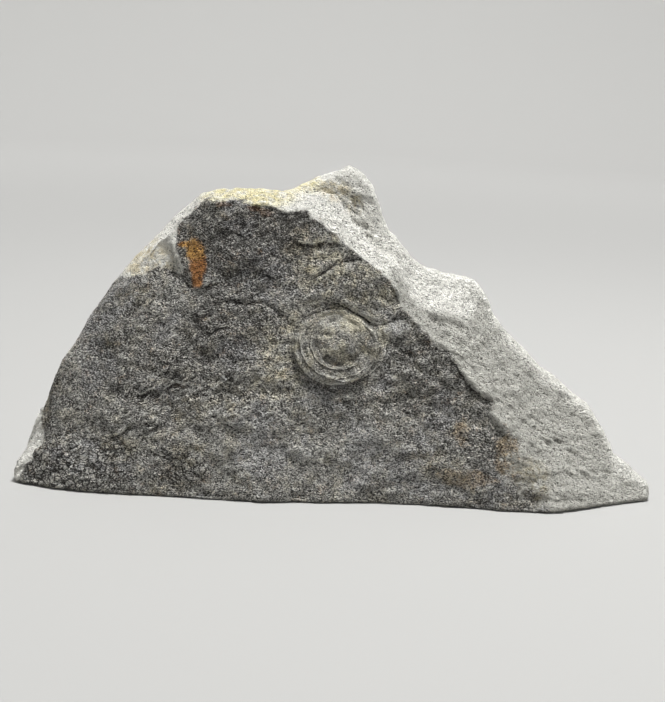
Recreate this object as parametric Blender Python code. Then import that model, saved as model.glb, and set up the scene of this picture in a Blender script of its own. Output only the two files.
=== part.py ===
"""Sandstone slab with a jellyfish fossil, standing on its own broad base.

The slab is one natural stone. Its front is a stained bedding face that leans back, with the
ringed disc of a stranded jellyfish on it. A pale fresh break runs along the top and down the
right, a second peak stands behind the face, and the back steps down from bed to bed.

The stone is drawn as cross sections, one every couple of millimetres from left to right. The
corners of a section lie on rails, which are lines along the slab: foot, ridge, shoulder, hollow,
crest, back and heel. The relief of the bedding face is then added to the sections, the loops are
skinned, and a decimation keeps the triangles where the surface bends.

Lengths below are millimetres. X runs to the right, Y away from the front, Z up. The rails are
measured from the middle of the front foot, and the slab is set down centred on the origin.
"""
from math import cos, radians, sin, tan

import bmesh
import bpy
import numpy as np

MM = 0.001                    # metres in a millimetre

# Build of the mesh
STATION_STEP = 1.8            # distance between cross sections
FRONT_ROWS = 92               # steps up a section's front, from the base to the crest
BACK_ROWS = 46                # steps down its back
BASE_ROWS = 6                 # steps under it
KEPT_TRIANGLES = 9400         # triangles left on the stone

# Driving dimensions of the slab
LEFT_END, RIGHT_END = -145.0, 157.5
END_ROUNDING = 2.5            # how far the rounded ends stand out past the last sections
END_HEIGHT = 4.0              # height of the point that an end rounds down to
FACE_LEAN = radians(12)       # lean of the bedding face from upright
LIP = 1.4                     # height of the broken edge under the foot and the heel
TOE = 2.6                     # how far the flat base stays behind the foot and the heel
EDGE_PASSES = 2               # smoothing passes that round the broken edges

# Rails (x, y): foot and heel, the front and the back edge of the base
FOOT = [(-145, 0), (-135, -3.5), (-125, -6), (-97, -9), (-80, -8), (-55, -9), (-25, -8),
        (0, -5), (25, -1), (60, 0.5), (84, -2), (106, -1), (123, 7), (135, 13), (158, 24)]
HEEL = [(-145, 15), (-135, 27), (-120, 44), (-95, 60), (-65, 72), (-25, 79), (15, 81),
        (50, 77), (80, 70), (105, 62), (128, 52), (145, 43), (158, 35)]

# Rail (x, z): ridge, the broken upper edge of the bedding face
RIDGE = [(-145, 7), (-139, 13), (-133, 24), (-131, 42), (-126, 58), (-115, 73), (-107, 88),
         (-100, 94.5), (-90, 108.5), (-80.5, 119), (-75, 127), (-62, 136), (-43, 135.5),
         (-31, 134.5), (-25, 132.5), (-15, 132.5), (-10, 129.5), (-4, 126), (5, 119), (12, 113),
         (20, 108), (27, 104), (31, 99), (33, 90), (40, 83), (46, 77), (50, 73.5), (56, 71),
         (62, 62), (69, 55), (75, 51), (77, 43), (83, 37), (89, 29), (95, 19), (101, 10),
         (108, 2), (158, 2)]

# Rails (x, y, z) on the fresh break
SHOULDER = [(-145, 6, 8), (-138, 8, 19), (-132, 12, 39), (-128, 15, 52), (-115, 21, 76),
            (-100, 29, 98), (-90, 34, 111), (-78, 38, 124), (-66, 41, 135), (-50, 42, 137.5),
            (-30, 43, 137), (-18, 46, 138), (-12, 47, 139.3), (-3, 46, 139.3), (0, 42, 135.6),
            (3, 39, 131), (10, 36, 125), (18, 33, 118), (27, 30, 110), (35, 28, 97), (42, 27, 91),
            (52, 27, 89), (60, 29, 87.5), (68, 32, 84), (76, 34, 78), (84, 30, 65), (92, 25, 52),
            (100, 21, 40), (110, 21, 33), (120, 23, 27), (130, 25, 22), (140, 27, 15),
            (150, 28, 9.5), (158, 28, 8)]
HOLLOW = [(-145, 7, 8), (-130, 15, 48), (-115, 23, 77), (-100, 34, 99), (-90, 39, 111),
          (-78, 43, 125), (-66, 46, 135.5), (-50, 49, 138), (-28, 51, 137), (-18, 53, 138),
          (-9, 53, 141), (0, 53, 138.5), (6, 51, 131), (12, 48, 125.5), (20, 43, 118),
          (28, 40, 110.5), (38, 39, 101), (50, 41, 99), (60, 41, 97), (68, 41, 92), (76, 40, 83),
          (84, 38, 73), (92, 35, 63), (102, 33, 52), (112, 33, 45), (122, 34, 39), (132, 33, 30),
          (142, 32, 18), (150, 32, 12.5), (158, 30, 10)]
CREST = [(-145, 8, 8.5), (-142, 8, 15.5), (-137, 11, 24.5), (-134.5, 12, 35), (-129.5, 15, 51.5),
         (-125, 18, 62), (-118, 22, 71), (-112, 28, 83), (-106, 34, 91.5), (-99, 38, 102),
         (-92, 42, 110), (-85, 45, 117), (-81, 46, 122.5), (-74, 48, 129.5), (-66.5, 50, 135.5),
         (-60, 52, 138.5), (-44, 55, 139), (-28, 57, 138), (-20, 59, 142.5), (-9, 60, 148.5),
         (-1, 60, 151), (3, 60, 153.5), (7, 59, 152), (11, 58, 149), (15, 57, 144),
         (19.5, 55, 131.5), (24, 53, 124), (28, 52, 120), (36.5, 50, 111), (41, 50, 107.5),
         (53, 51, 104), (60.5, 50, 103), (65, 49, 102.5), (69, 48, 101), (73, 46, 96),
         (77.5, 45, 86), (86, 43.5, 76.5), (94.5, 42, 69.5), (103, 42, 61), (111.5, 42, 56),
         (120, 41, 49), (128, 39, 44), (133, 38, 36), (137.5, 38, 28), (141, 37, 20),
         (150.5, 35, 15), (158, 31, 11.5)]

# The back bends twice: share of the way from the crest back to the heel, and of the height
CROWN = (0.50, 0.975)
KNEE = (0.82, 0.55)

# Left chip: a facet broken off the face above this line (x, z)
CHIP = [(-104, 97), (-98, 97), (-90, 100), (-84, 104), (-77, 103), (-72, 101)]
CHIP_END = [(95, -70), (101, -73), (110, -77), (125, -79)]   # its right end (z, x)
CHIP_SLOPE = 1.4              # how fast the facet falls back as it rises
CHIP_FADE = 2.0               # half width of the blend at its right end

# Bed edges on the face: line (x, z), height of the step, how far the upper bed stays proud
BED_EDGES = [
    ([(-73, 100), (-67, 96), (-60, 92), (-55, 90), (-40, 90), (-30, 89), (-25, 84)], 1.6, 22.0),
    ([(-64, 95), (-60, 96.5), (-53, 101)], 0.8, 6.0),
    ([(-14, 101), (-10, 103), (-5, 106), (0, 110), (7, 112), (15, 111.5)], 2.2, 16.0),
    ([(-10, 87), (-3, 89.5), (2, 91.5), (6, 90), (12, 87), (20, 82.5)], 2.2, 12.0),
    ([(20, 82.5), (25, 84.5), (29, 86), (34, 89)], 1.4, 8.0),
    ([(-26, 123), (-20, 120.5), (-15, 118.5), (-10, 119.5), (0, 121)], 1.2, 7.0),
    ([(-103, 24), (-95, 29), (-86, 31.5)], 1.0, 8.0),
    ([(46, 77), (54, 72), (60, 64), (68, 55), (75, 50)], 1.0, 6.0),
]
# Cracks and wrinkles on the face: line (x, z), depth (a wrinkle stands up), half width
CRACKS = [
    ([(20, 48), (27, 47), (34, 51), (48, 50)], 1.0, 1.6),
    ([(-90, 45), (-85, 47), (-80, 50)], -0.8, 1.5),
    ([(-79, 48), (-73, 51)], -0.7, 1.4),
    ([(-6, 93.5), (0, 93.3)], 0.6, 1.2),
]
LINE_FADE = 4.0               # length over which an edge or a crack dies out at its ends

# The fossil: centre (x, z), half width and half height of each part, then its height
DISC = ((1.5, 71.5), (20.5, 18.0), 2.6)
BOSS = ((2.5, 75.0), (9.5, 8.8), 2.2)
DISC_EDGE = 3.5               # width of the slope at the rim of the disc
DISC_CROWN = 0.8              # rise of the disc from its rim to its middle
RIM_ABOVE = 0.45              # height of the rim's upper side as a share of its lower side
MOAT = (20.3, 2.6, 1.6)       # hollow round the lower rim: distance below the centre, width, depth
# Rings: centre, half width and half height, height, width, side where strongest (degrees)
RINGS = [
    ((3.0, 74.0), (13.5, 12.3), 1.1, 1.5, 245),
    ((3.0, 73.5), (17.3, 16.2), 1.0, 1.3, 255),
    ((6.0, 72.5), (17.8, 16.8), 0.8, 1.1, 300),
]
RING_FAINTEST = 0.25          # share of a ring's height left on its weak side

# Partings between the beds, as depths behind the front face, which show as steps on the back
PARTINGS = [0, 24, 33, 51, 57, 74, 83, 100]
PARTING_DRIFT = (55, 26)      # size and height of the lumps that let a step wander
STEP_STRENGTH = 0.8

# Unevenness: (size of the lumps, height) on the bedding face and on the broken surfaces
FACE_LUMPS = [(30, 2.2), (12, 1.5), (5, 0.6)]
BREAK_LUMPS = [(38, 4.0), (15, 2.6), (6, 1.2)]
LATTICE = 32                  # cells along each side of the random lattice
LUMP_SEED = 3
CREST_HOLD = 14.0             # the unevenness calms down this close to the crest
CREST_CALM = 0.8              # and loses this share of its height there
BASE_HOLD = 4.0               # nothing is moved at the base, and all of it above this height
RIDGE_BLEND = (-2.0, 4.0)     # the face turns into the fresh break from this far past the ridge

SANDSTONE = (0.33, 0.32, 0.30, 1.0)


def rail(points, x):
    """Values of a rail at the stations x, by straight pieces between its points."""
    table = np.array(points, dtype=float)
    return [np.interp(x, table[:, 0], column) for column in table[:, 1:].T]


def smooth(edge_0, edge_1, value):
    """0 below edge_0, 1 above edge_1, and 3t2 - 2t3 between them."""
    t = np.clip((value - edge_0) / (edge_1 - edge_0), 0, 1)
    return t * t * (3 - 2 * t)


def lumps(points, sizes, seed):
    """Sum of smooth random lattices over the points, one for each (size, height)."""
    total = np.zeros(points.shape[:-1])
    for turn, (size, height) in enumerate(sizes):
        cells = np.random.default_rng(seed + turn).random([LATTICE] * 3) - 0.5
        place = points / size
        corner = np.floor(place).astype(int)
        part = place - corner
        part = part * part * (3 - 2 * part)
        value = 0
        for dx, dy, dz in np.ndindex(2, 2, 2):
            share = np.ones(points.shape[:-1])
            for axis, step in enumerate((dx, dy, dz)):
                share = share * (part[..., axis] if step else 1 - part[..., axis])
            cell = (corner + (dx, dy, dz)) % LATTICE
            value = value + share * cells[tuple(np.moveaxis(cell, -1, 0))]
        total += height * value
    return total


def walk(knots, rows):
    """Points spread evenly along each station's section, which runs through the knots."""
    knots = np.stack([np.stack(np.broadcast_arrays(*knot), -1) for knot in knots], 1)
    lengths = np.linalg.norm(np.diff(knots, axis=1), axis=2)
    reach = np.concatenate([np.zeros((len(knots), 1)), np.cumsum(lengths, axis=1)], 1)
    wanted = np.linspace(0, 1, rows + 1)[None, :] * reach[:, -1:]
    leg = (reach[:, 1:-1, None] <= wanted[:, None, :]).sum(axis=1)
    start = np.take_along_axis(reach, leg, 1)
    share = (wanted - start) / np.take_along_axis(lengths, leg, 1)
    near = np.take_along_axis(knots, leg[..., None], 1)
    far = np.take_along_axis(knots, leg[..., None] + 1, 1)
    return near + (far - near) * share[..., None]


def beside(line, x, z):
    """Signed distance from a line that runs to the right, positive above it, and end fade."""
    corners = np.array(line, dtype=float)
    spans = np.diff(corners, axis=0)
    lengths = np.hypot(*spans.T)
    passed = np.concatenate([[0], np.cumsum(lengths)])
    best, side, place = np.full(x.shape, 1e9), np.ones(x.shape), np.zeros(x.shape)
    for (x0, z0), (ux, uz), length, before in zip(corners, spans, lengths, passed):
        along = np.clip(((x - x0) * ux + (z - z0) * uz) / length ** 2, 0, 1)
        gap = np.hypot(x - x0 - along * ux, z - z0 - along * uz)
        nearer = gap < best
        best = np.where(nearer, gap, best)
        side = np.where(nearer, np.sign(ux * (z - z0) - uz * (x - x0)), side)
        place = np.where(nearer, before + along * length, place)
    fade = smooth(0, LINE_FADE, np.minimum(place, passed[-1] - place))
    return best * side, fade


def oval(x, z, centre, radii):
    """Distance from the middle of an oval, 1 on its edge, and the direction in degrees."""
    across, up = (x - centre[0]) / radii[0], (z - centre[1]) / radii[1]
    return np.hypot(across, up), np.degrees(np.arctan2(up, across))


def fossil_relief(x, z):
    """Height of the jellyfish: a proud disc, a domed boss, and rings strongest below."""
    centre, radii, height = DISC
    out, heading = oval(x, z, centre, radii)
    below = smooth(-0.2, 0.9, -np.sin(np.radians(heading)))
    rim = smooth(0, DISC_EDGE, (1 - out) * radii[1])
    rise = height * rim * (RIM_ABOVE + (1 - RIM_ABOVE) * below)
    rise = rise + DISC_CROWN * np.clip(1 - out ** 2, 0, 1)
    place, width, depth = MOAT
    rise = rise - depth * below * np.exp(-((out * radii[1] - place) / width) ** 2)
    centre, radii, height = BOSS
    out, heading = oval(x, z, centre, radii)
    rise = rise + height * np.sqrt(np.clip(1 - out ** 2, 0, 1))
    for centre, radii, height, width, strongest in RINGS:
        out, heading = oval(x, z, centre, radii)
        turned = np.cos(np.radians(heading - strongest))
        strength = RING_FAINTEST + (1 - RING_FAINTEST) * smooth(-0.5, 0.6, turned)
        rise = rise + height * strength * np.exp(-((out - 1) * radii[0] / width) ** 2)
    return rise


def face_relief(x, z):
    """Height of everything that stands out of, or is sunk in, the bedding face."""
    rise = fossil_relief(x, z)
    for line, height, reach in BED_EDGES:
        above, fade = beside(line, x, z)
        proud = smooth(-0.6, 0.9, above) * np.exp(-np.clip(above, 0, None) / reach)
        under = 0.35 * np.exp(-((above + 1.5) / 1.5) ** 2)
        rise = rise + height * fade * (proud - under)
    for line, depth, width in CRACKS:
        above, fade = beside(line, x, z)
        rise = rise - depth * fade * np.exp(-(above / width) ** 2)
    return rise


def chip_cut(x, y, z):
    """How far the left chip's facet lies behind the point (x, y, z), 0 where it is in front."""
    low, end = rail(CHIP, x)[0], rail(CHIP_END, z)[0]
    facet = low * tan(FACE_LEAN) + CHIP_SLOPE * (z - low)
    inside = smooth(CHIP[0][0], CHIP[1][0], x) * smooth(CHIP_FADE, -CHIP_FADE, x - end)
    return np.clip(facet - y, 0, None) * inside


def bed_steps(points):
    """Shift of the back towards whole beds, which lie parallel to the front face."""
    depth = points[..., 1] * cos(FACE_LEAN) - points[..., 2] * sin(FACE_LEAN)
    depth = np.clip(depth + lumps(points, [PARTING_DRIFT], LUMP_SEED + 20), 1, PARTINGS[-1] - 1)
    bed = np.searchsorted(PARTINGS, depth)
    near, far = np.take(PARTINGS, bed - 1), np.take(PARTINGS, bed)
    part = (depth - near) / (far - near)
    return STEP_STRENGTH * (far - near) * (smooth(0.2, 0.8, part) - part)


def slab_sections():
    """Cross sections of the whole stone, as an array of stations by rows by (x, y, z)."""
    stations = round((RIGHT_END - LEFT_END) / STATION_STEP)
    x = np.linspace(LEFT_END, RIGHT_END, stations + 1)
    foot, heel, ridge = rail(FOOT, x)[0], rail(HEEL, x)[0], rail(RIDGE, x)[0]
    shoulder, hollow, crest = rail(SHOULDER, x), rail(HOLLOW, x), rail(CREST, x)
    crown, knee = [(crest[0] + back * (heel - crest[0]), up * crest[1])
                   for back, up in (CROWN, KNEE)]
    brink = (np.maximum(ridge * tan(FACE_LEAN), foot), ridge)
    front = walk([(foot + TOE, 0), (foot, LIP), brink, shoulder, hollow, crest], FRONT_ROWS)
    back = walk([crest, crown, knee, (heel, LIP), (heel - TOE, 0)], BACK_ROWS)
    base = walk([(heel - TOE, 0), (foot + TOE, 0)], BASE_ROWS)
    grid = np.concatenate([front[:, :-1], back[:, :-1], base[:, :-1]], 1)
    for _ in range(EDGE_PASSES):
        grid = (np.roll(grid, 1, 1) + 2 * grid + np.roll(grid, -1, 1)) / 4
    across = np.broadcast_to(x[:, None], grid.shape[:2])
    points = np.concatenate([across[..., None], grid], 2)
    return shape_surface(points, ridge, np.stack(crest, 1))


def shape_surface(points, ridge, crest):
    """Move the smooth sections out or in: chip, relief, beds of the back, and unevenness."""
    x, y, z = np.moveaxis(points, 2, 0)
    rows = np.arange(points.shape[1])[None, :]
    is_front = rows < FRONT_ROWS
    is_base = rows >= FRONT_ROWS + BACK_ROWS
    off_base = smooth(0, BASE_HOLD, z)

    along, up = np.gradient(points, axis=0), np.gradient(points, axis=1)
    outward = np.cross(along, up)
    outward /= np.maximum(np.linalg.norm(outward, axis=2, keepdims=True), 1e-9)
    cut = is_front * chip_cut(x, y, z)
    bedding = is_front * smooth(*RIDGE_BLEND, ridge[:, None] - z) * smooth(3, 0, cut)
    near_crest = smooth(CREST_HOLD, 0, np.linalg.norm(points[..., 1:] - crest[:, None], axis=2))
    rise = bedding * (face_relief(x, z) + lumps(points, FACE_LUMPS, LUMP_SEED))
    rise = rise + ((1 - bedding) * (1 - CREST_CALM * near_crest)
                   * lumps(points, BREAK_LUMPS, LUMP_SEED + 10))
    moved = points + (rise * off_base * ~is_base)[..., None] * outward
    moved[..., 1] += cut
    moved[..., 1] += ~is_front * off_base * (1 - near_crest) * bed_steps(points)
    moved[..., 2] = np.maximum(moved[..., 2], 0)
    return moved


def round_end(section, towards):
    """Loops that shrink from an end section to a blunt nose, along a quarter circle."""
    middle = np.array([section[0, 0], section[:, 1].mean(), END_HEIGHT])
    loops = []
    for angle in radians(30), radians(60), radians(80):
        loop = middle + (section - middle) * cos(angle)
        loop[:, 0] = section[0, 0] + towards * END_ROUNDING * sin(angle)
        loops.append(loop)
    return loops


def skin(loops):
    """Closed bmesh over the loops: quads between neighbours and a poked cap on each end."""
    mesh = bmesh.new()
    rings = [[mesh.verts.new(place) for place in loop] for loop in loops]
    for left, right in zip(rings, rings[1:]):
        for k, (low_left, low_right) in enumerate(zip(left, right)):
            following = (k + 1) % len(left)
            mesh.faces.new((low_left, low_right, right[following], left[following]))
    ends = [mesh.faces.new(rings[0]), mesh.faces.new(rings[-1])]
    bmesh.ops.poke(mesh, faces=ends)
    bmesh.ops.recalc_face_normals(mesh, faces=mesh.faces)
    return mesh


def sandstone():
    """Dull grey sandstone, as its broken and its stained faces look from a distance."""
    material = bpy.data.materials.new("sandstone")
    material.use_nodes = True
    shader = material.node_tree.nodes["Principled BSDF"]
    shader.inputs["Base Color"].default_value = SANDSTONE
    shader.inputs["Roughness"].default_value = 0.9
    shader.inputs["Metallic"].default_value = 0.0
    return material


def fossil_slab():
    """The slab, centred over the origin on its flat base, with its triangles thinned."""
    sections = slab_sections()
    loops = round_end(sections[0], -1)[::-1] + list(sections) + round_end(sections[-1], 1)
    places = np.array(loops)
    low, high = places.min(axis=(0, 1)), places.max(axis=(0, 1))
    places = (places - [(low[0] + high[0]) / 2, (low[1] + high[1]) / 2, low[2]]) * MM
    mesh = skin(places)
    data = bpy.data.meshes.new("fossil_slab")
    mesh.to_mesh(data)
    triangles = sum(len(face.verts) - 2 for face in mesh.faces)
    mesh.free()
    slab = bpy.data.objects.new("fossil_slab", data)
    bpy.context.collection.objects.link(slab)
    data.materials.append(sandstone())
    thinning = slab.modifiers.new("Fewer triangles", "DECIMATE")
    thinning.ratio = KEPT_TRIANGLES / triangles
    return slab


for leftover in list(bpy.data.objects):
    bpy.data.objects.remove(leftover, do_unlink=True)
fossil_slab()
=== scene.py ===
"""The finish of a sandstone slab that carries a stranded jellyfish, standing on its own base.

The slab is one stone, so there is one piece. It is drawn again here from rails and relief like
those of its solid, on a finer grid, and gets what only shows close up: sand grains, small ledges
and wrinkles, blisters, the ragged edge of the stained skin, and the stains themselves.

Lengths are millimetres until the mesh is made. X runs to the right, Y away from the front, Z up.
The rails and every mark on the stone are measured from the middle of its front foot.
"""
from math import cos, radians, sin, tan
from types import SimpleNamespace

import bpy
import numpy as np
from mathutils import Matrix, Vector


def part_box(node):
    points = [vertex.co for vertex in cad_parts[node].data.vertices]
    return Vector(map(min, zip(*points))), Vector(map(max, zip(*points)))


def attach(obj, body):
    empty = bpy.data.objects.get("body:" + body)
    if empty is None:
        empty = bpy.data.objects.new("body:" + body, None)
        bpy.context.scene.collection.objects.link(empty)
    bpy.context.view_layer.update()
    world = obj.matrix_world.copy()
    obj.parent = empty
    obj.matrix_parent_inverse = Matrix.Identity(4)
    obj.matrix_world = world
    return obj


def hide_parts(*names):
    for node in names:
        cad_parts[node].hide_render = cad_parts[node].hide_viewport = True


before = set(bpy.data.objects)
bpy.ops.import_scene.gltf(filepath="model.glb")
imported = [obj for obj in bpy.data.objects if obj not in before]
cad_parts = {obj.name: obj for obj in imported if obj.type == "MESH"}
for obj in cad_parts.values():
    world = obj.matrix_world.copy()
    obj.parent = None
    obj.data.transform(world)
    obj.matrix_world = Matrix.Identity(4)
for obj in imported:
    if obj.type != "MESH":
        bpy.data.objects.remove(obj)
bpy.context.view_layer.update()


# ----------------------------------------------------------------------
# The form of the slab: one natural sandstone, split off its beds. The front is a bedding face
# that leans back, and everything above and to the right of it is a fresh break. Cross sections
# are carried along the rails, from the left end to the right one, and close round the base.

LEFT_END, RIGHT_END = -145.0, 157.5
END_ROUNDING = 2.5            # how far the rounded ends stand out past the last sections
END_HEIGHT = 4.0              # height of the point that an end rounds down to
FACE_LEAN = radians(12)       # lean of the bedding face from upright
LIP = 1.0                     # height of the broken edge under the foot and the heel
TOE = 1.4                     # how far the flat base stays behind the foot and the heel
EDGE_PASSES = 1               # smoothing passes that round the broken edges

# Rails (x, y): foot and heel, the front and the back edge of the base
FOOT = [(-145, 0), (-135, -3.5), (-125, -6), (-97, -9), (-80, -8), (-55, -9), (-25, -8),
        (0, -5), (25, -1), (60, 0.5), (84, -2), (106, -1), (123, 7), (135, 13), (158, 24)]
HEEL = [(-145, 15), (-135, 27), (-120, 44), (-95, 60), (-65, 72), (-25, 79), (15, 81),
        (50, 77), (80, 70), (105, 62), (128, 52), (145, 43), (158, 35)]

# Rail (x, z): ridge, the broken upper edge of the bedding face
RIDGE = [(-145, 7), (-139, 13), (-133, 24), (-131, 42), (-126, 58), (-115, 73), (-107, 88),
         (-100, 94.5), (-90, 108.5), (-80.5, 119), (-75, 127), (-62, 136), (-43, 135.5),
         (-31, 134.5), (-25, 132.5), (-15, 132.5), (-10, 129.5), (-4, 126), (5, 119), (12, 113),
         (20, 107.5), (24, 103.7), (28, 99.5), (30, 95), (31.5, 90.5), (36, 86.8), (40, 83),
         (46, 77), (50, 73.5), (56, 71),
         (62, 62), (69, 55), (75, 51), (77, 43), (83, 37), (89, 29), (95, 19), (101, 10),
         (108, 2), (158, 2)]

# Rails (x, y, z) on the fresh break
SHOULDER = [(-145, 6, 8), (-138, 8, 19), (-132, 12, 39), (-128, 15, 52), (-115, 21, 76),
            (-100, 29, 98), (-90, 34, 111), (-78, 38, 124), (-66, 41, 135), (-50, 42, 137.5),
            (-30, 43, 137), (-18, 46, 138), (-12, 47, 139.3), (-3, 46, 139.3), (0, 42, 135.6),
            (3, 39, 131), (10, 36, 125), (18, 33, 118), (27, 30, 110), (35, 28, 97), (42, 27, 91),
            (52, 27, 89), (60, 29, 87.5), (68, 32, 84), (76, 34, 78), (84, 30, 65), (92, 25, 52),
            (100, 21, 40), (110, 21, 33), (120, 23, 27), (130, 25, 22), (140, 27, 15),
            (150, 28, 9.5), (158, 28, 6.5)]
HOLLOW = [(-145, 7, 8), (-130, 15, 48), (-115, 23, 77), (-100, 34, 99), (-90, 39, 111),
          (-78, 43, 125), (-66, 46, 135.5), (-50, 49, 138), (-28, 51, 137), (-18, 53, 136.3),
          (-9, 53, 136.4), (0, 52, 132.8), (6, 50, 126.4), (12, 47, 121.3), (20, 43, 115.6),
          (28, 40, 110.5), (38, 39, 101), (50, 41, 99), (60, 41, 97), (68, 41, 92), (76, 40, 83),
          (84, 38, 73), (92, 35, 63), (102, 33, 52), (112, 33, 45), (122, 34, 39), (132, 33, 30),
          (142, 32, 18), (150, 32, 12.5), (158, 30, 8)]
CREST = [(-145, 8, 8.5), (-142, 8, 15.5), (-137, 11, 24.5), (-134.5, 12, 35), (-129.5, 15, 51.5),
         (-125, 18, 62), (-118, 22, 71), (-112, 28, 83), (-106, 34, 91.5), (-99, 38, 102),
         (-92, 42, 110), (-85, 45, 117), (-81, 46, 122.5), (-74, 48, 129.5), (-66.5, 50, 135.5),
         (-60, 52, 138.5), (-44, 55, 139), (-28, 57, 138), (-20, 59, 142.5), (-9, 60, 148.5),
         (-1, 60, 151), (3, 60, 153.5), (7, 59, 152), (11, 58, 149), (15, 57, 144),
         (19.5, 55, 131.5), (24, 53, 124), (28, 52, 120), (36.5, 50, 111), (41, 50, 107.5),
         (53, 51, 104), (60.5, 50, 103), (65, 49, 102.5), (69, 48, 101), (73, 46, 96),
         (77.5, 45, 86), (86, 43.5, 76.5), (94.5, 42, 69.5), (103, 42, 61), (111.5, 42, 56),
         (120, 41, 49), (128, 39, 44), (133, 38, 36), (137.5, 38, 28), (141, 37, 20),
         (150.5, 35, 15), (158, 31, 9)]

# The back bends twice: share of the way from the crest back to the heel, and of the height
CROWN = (0.50, 0.975)
KNEE = (0.82, 0.55)

# Steps of the grid. They are closest where the jellyfish lies.
STATIONS = 344                # cross sections from the left end to the right one
FRONT_ROWS, BACK_ROWS, BASE_ROWS = 204, 70, 7
FINE_STATIONS = (0.38, 0.60, 0.75)    # from this share to that, and how much closer there
FINE_ROWS = (0.26, 0.60, 0.55)
FINE_EASE = 0.05              # share of the whole over which they draw together
FOOT_CHIPS = (4.5, 1.1)       # size and height of the chips along the lower broken edge
RIDGE_WANDER = (5.0, 1.8)     # size and height of the nicks along the ridge
RIDGE_FREE = (4, 12)          # heights of the ridge at which the nicks start and are full
SOFT_RIDGE = (79, 90)         # the ridge is worn round from this station to that and beyond
SOFT_REACH = (15.0, 6.0)      # distances from it at which the wear ends and is full
SOFT_ABOVE = (2, 8)           # heights above the base at which the wear starts and is full
SOFT_STEP, SOFT_PASSES = 6, 5


def rail(points, x):
    """Values of a rail at the stations x, by straight pieces between its points."""
    table = np.array(points, dtype=float)
    return [np.interp(x, table[:, 0], column) for column in table[:, 1:].T]


def smooth(edge_0, edge_1, value):
    """0 below edge_0, 1 above edge_1, and 3t2 - 2t3 between them."""
    t = np.clip((value - edge_0) / (edge_1 - edge_0), 0, 1)
    return t * t * (3 - 2 * t)


def crowded(steps, low, high, extra):
    """Shares from 0 to 1, closer together by the extra between low and high."""
    share = np.linspace(0, 1, 1001)
    middle = smooth(low - FINE_EASE, low, share) * smooth(high + FINE_EASE, high, share)
    passed = np.cumsum(1 + extra * middle)
    passed = (passed - passed[0]) / (passed[-1] - passed[0])
    return np.interp(np.linspace(0, 1, steps + 1), passed, share)


def lumps(points, sizes, seed, cells=32):
    """Sum of smooth random lattices over the points, one for each (size, height)."""
    total = np.zeros(points.shape[:-1])
    for turn, (size, height) in enumerate(sizes):
        lattice = np.random.default_rng(seed + turn).random([cells] * 3) - 0.5
        place = points / size
        corner = np.floor(place).astype(int)
        part = place - corner
        part = part * part * (3 - 2 * part)
        value = 0
        for dx, dy, dz in np.ndindex(2, 2, 2):
            share = np.ones(points.shape[:-1])
            for axis, step in enumerate((dx, dy, dz)):
                share = share * (part[..., axis] if step else 1 - part[..., axis])
            cell = (corner + (dx, dy, dz)) % cells
            value = value + share * lattice[tuple(np.moveaxis(cell, -1, 0))]
        total += height * value
    return total


def walk(knots, shares):
    """Points at those shares of each station's section, which runs straight between the knots."""
    knots = np.stack([np.stack(np.broadcast_arrays(*knot), -1) for knot in knots], 1)
    lengths = np.linalg.norm(np.diff(knots, axis=1), axis=2)
    reach = np.concatenate([np.zeros((len(knots), 1)), np.cumsum(lengths, axis=1)], 1)
    wanted = shares[None, :] * reach[:, -1:]
    leg = (reach[:, 1:-1, None] <= wanted[:, None, :]).sum(axis=1)
    start = np.take_along_axis(reach, leg, 1)
    share = (wanted - start) / np.take_along_axis(lengths, leg, 1)
    near = np.take_along_axis(knots, leg[..., None], 1)
    far = np.take_along_axis(knots, leg[..., None] + 1, 1)
    return near + (far - near) * share[..., None]


def averaged(grid, step, passes):
    """Each point moved half way to the middle of those a step before and after it, repeatedly."""
    for _ in range(passes):
        grid = (np.roll(grid, step, 1) + 2 * grid + np.roll(grid, -step, 1)) / 4
    return grid


def slab_form():
    """The smooth slab as stations by rows by (x, y, z), with its ridge and crest lines.

    Each section runs straight from knot to knot: from the toe up the face, over the break to the
    crest, down the back and along the base. Averaging rounds its corners, and on the right wears
    the ridge away.
    """
    x = LEFT_END + (RIGHT_END - LEFT_END) * crowded(STATIONS, *FINE_STATIONS)
    foot, heel, ridge = rail(FOOT, x)[0], rail(HEEL, x)[0], rail(RIDGE, x)[0]
    shoulder, hollow, crest = rail(SHOULDER, x), rail(HOLLOW, x), rail(CREST, x)
    crown, knee = [(crest[0] + back * (heel - crest[0]), up * crest[1])
                   for back, up in (CROWN, KNEE)]
    chipped = np.stack([x, 0 * x, 0 * x], -1)
    lip = LIP + lumps(chipped, [FOOT_CHIPS, FOOT_CHIPS], seed=70)
    ridge = ridge + smooth(*RIDGE_FREE, ridge) * lumps(chipped, [RIDGE_WANDER], seed=72)
    brink = (np.maximum(ridge * tan(FACE_LEAN), foot), ridge)
    front_toe, back_toe = (foot + TOE, 0 * x), (heel - TOE, 0 * x)
    front = walk([front_toe, (foot, lip), brink, shoulder, hollow, crest],
                 crowded(FRONT_ROWS, *FINE_ROWS))
    back = walk([crest, crown, knee, (heel, lip), back_toe], np.linspace(0, 1, BACK_ROWS + 1))
    base = walk([back_toe, front_toe], np.linspace(0, 1, BASE_ROWS + 1))
    grid = np.concatenate([front[:, :-1], back[:, :-1], base[:, :-1]], 1)
    grid = averaged(grid, 1, EDGE_PASSES)
    worn = averaged(grid, SOFT_STEP, SOFT_PASSES)
    gap = np.hypot(grid[..., 0] - brink[0][:, None], grid[..., 1] - ridge[:, None])
    wear = (smooth(*SOFT_RIDGE, x)[:, None] * smooth(*SOFT_REACH, gap)
            * smooth(*SOFT_ABOVE, grid[..., 1]))
    grid = grid + wear[..., None] * (worn - grid)
    across = np.broadcast_to(x[:, None], grid.shape[:2])
    return np.concatenate([across[..., None], grid], 2), ridge, np.stack(crest, 1)


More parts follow.
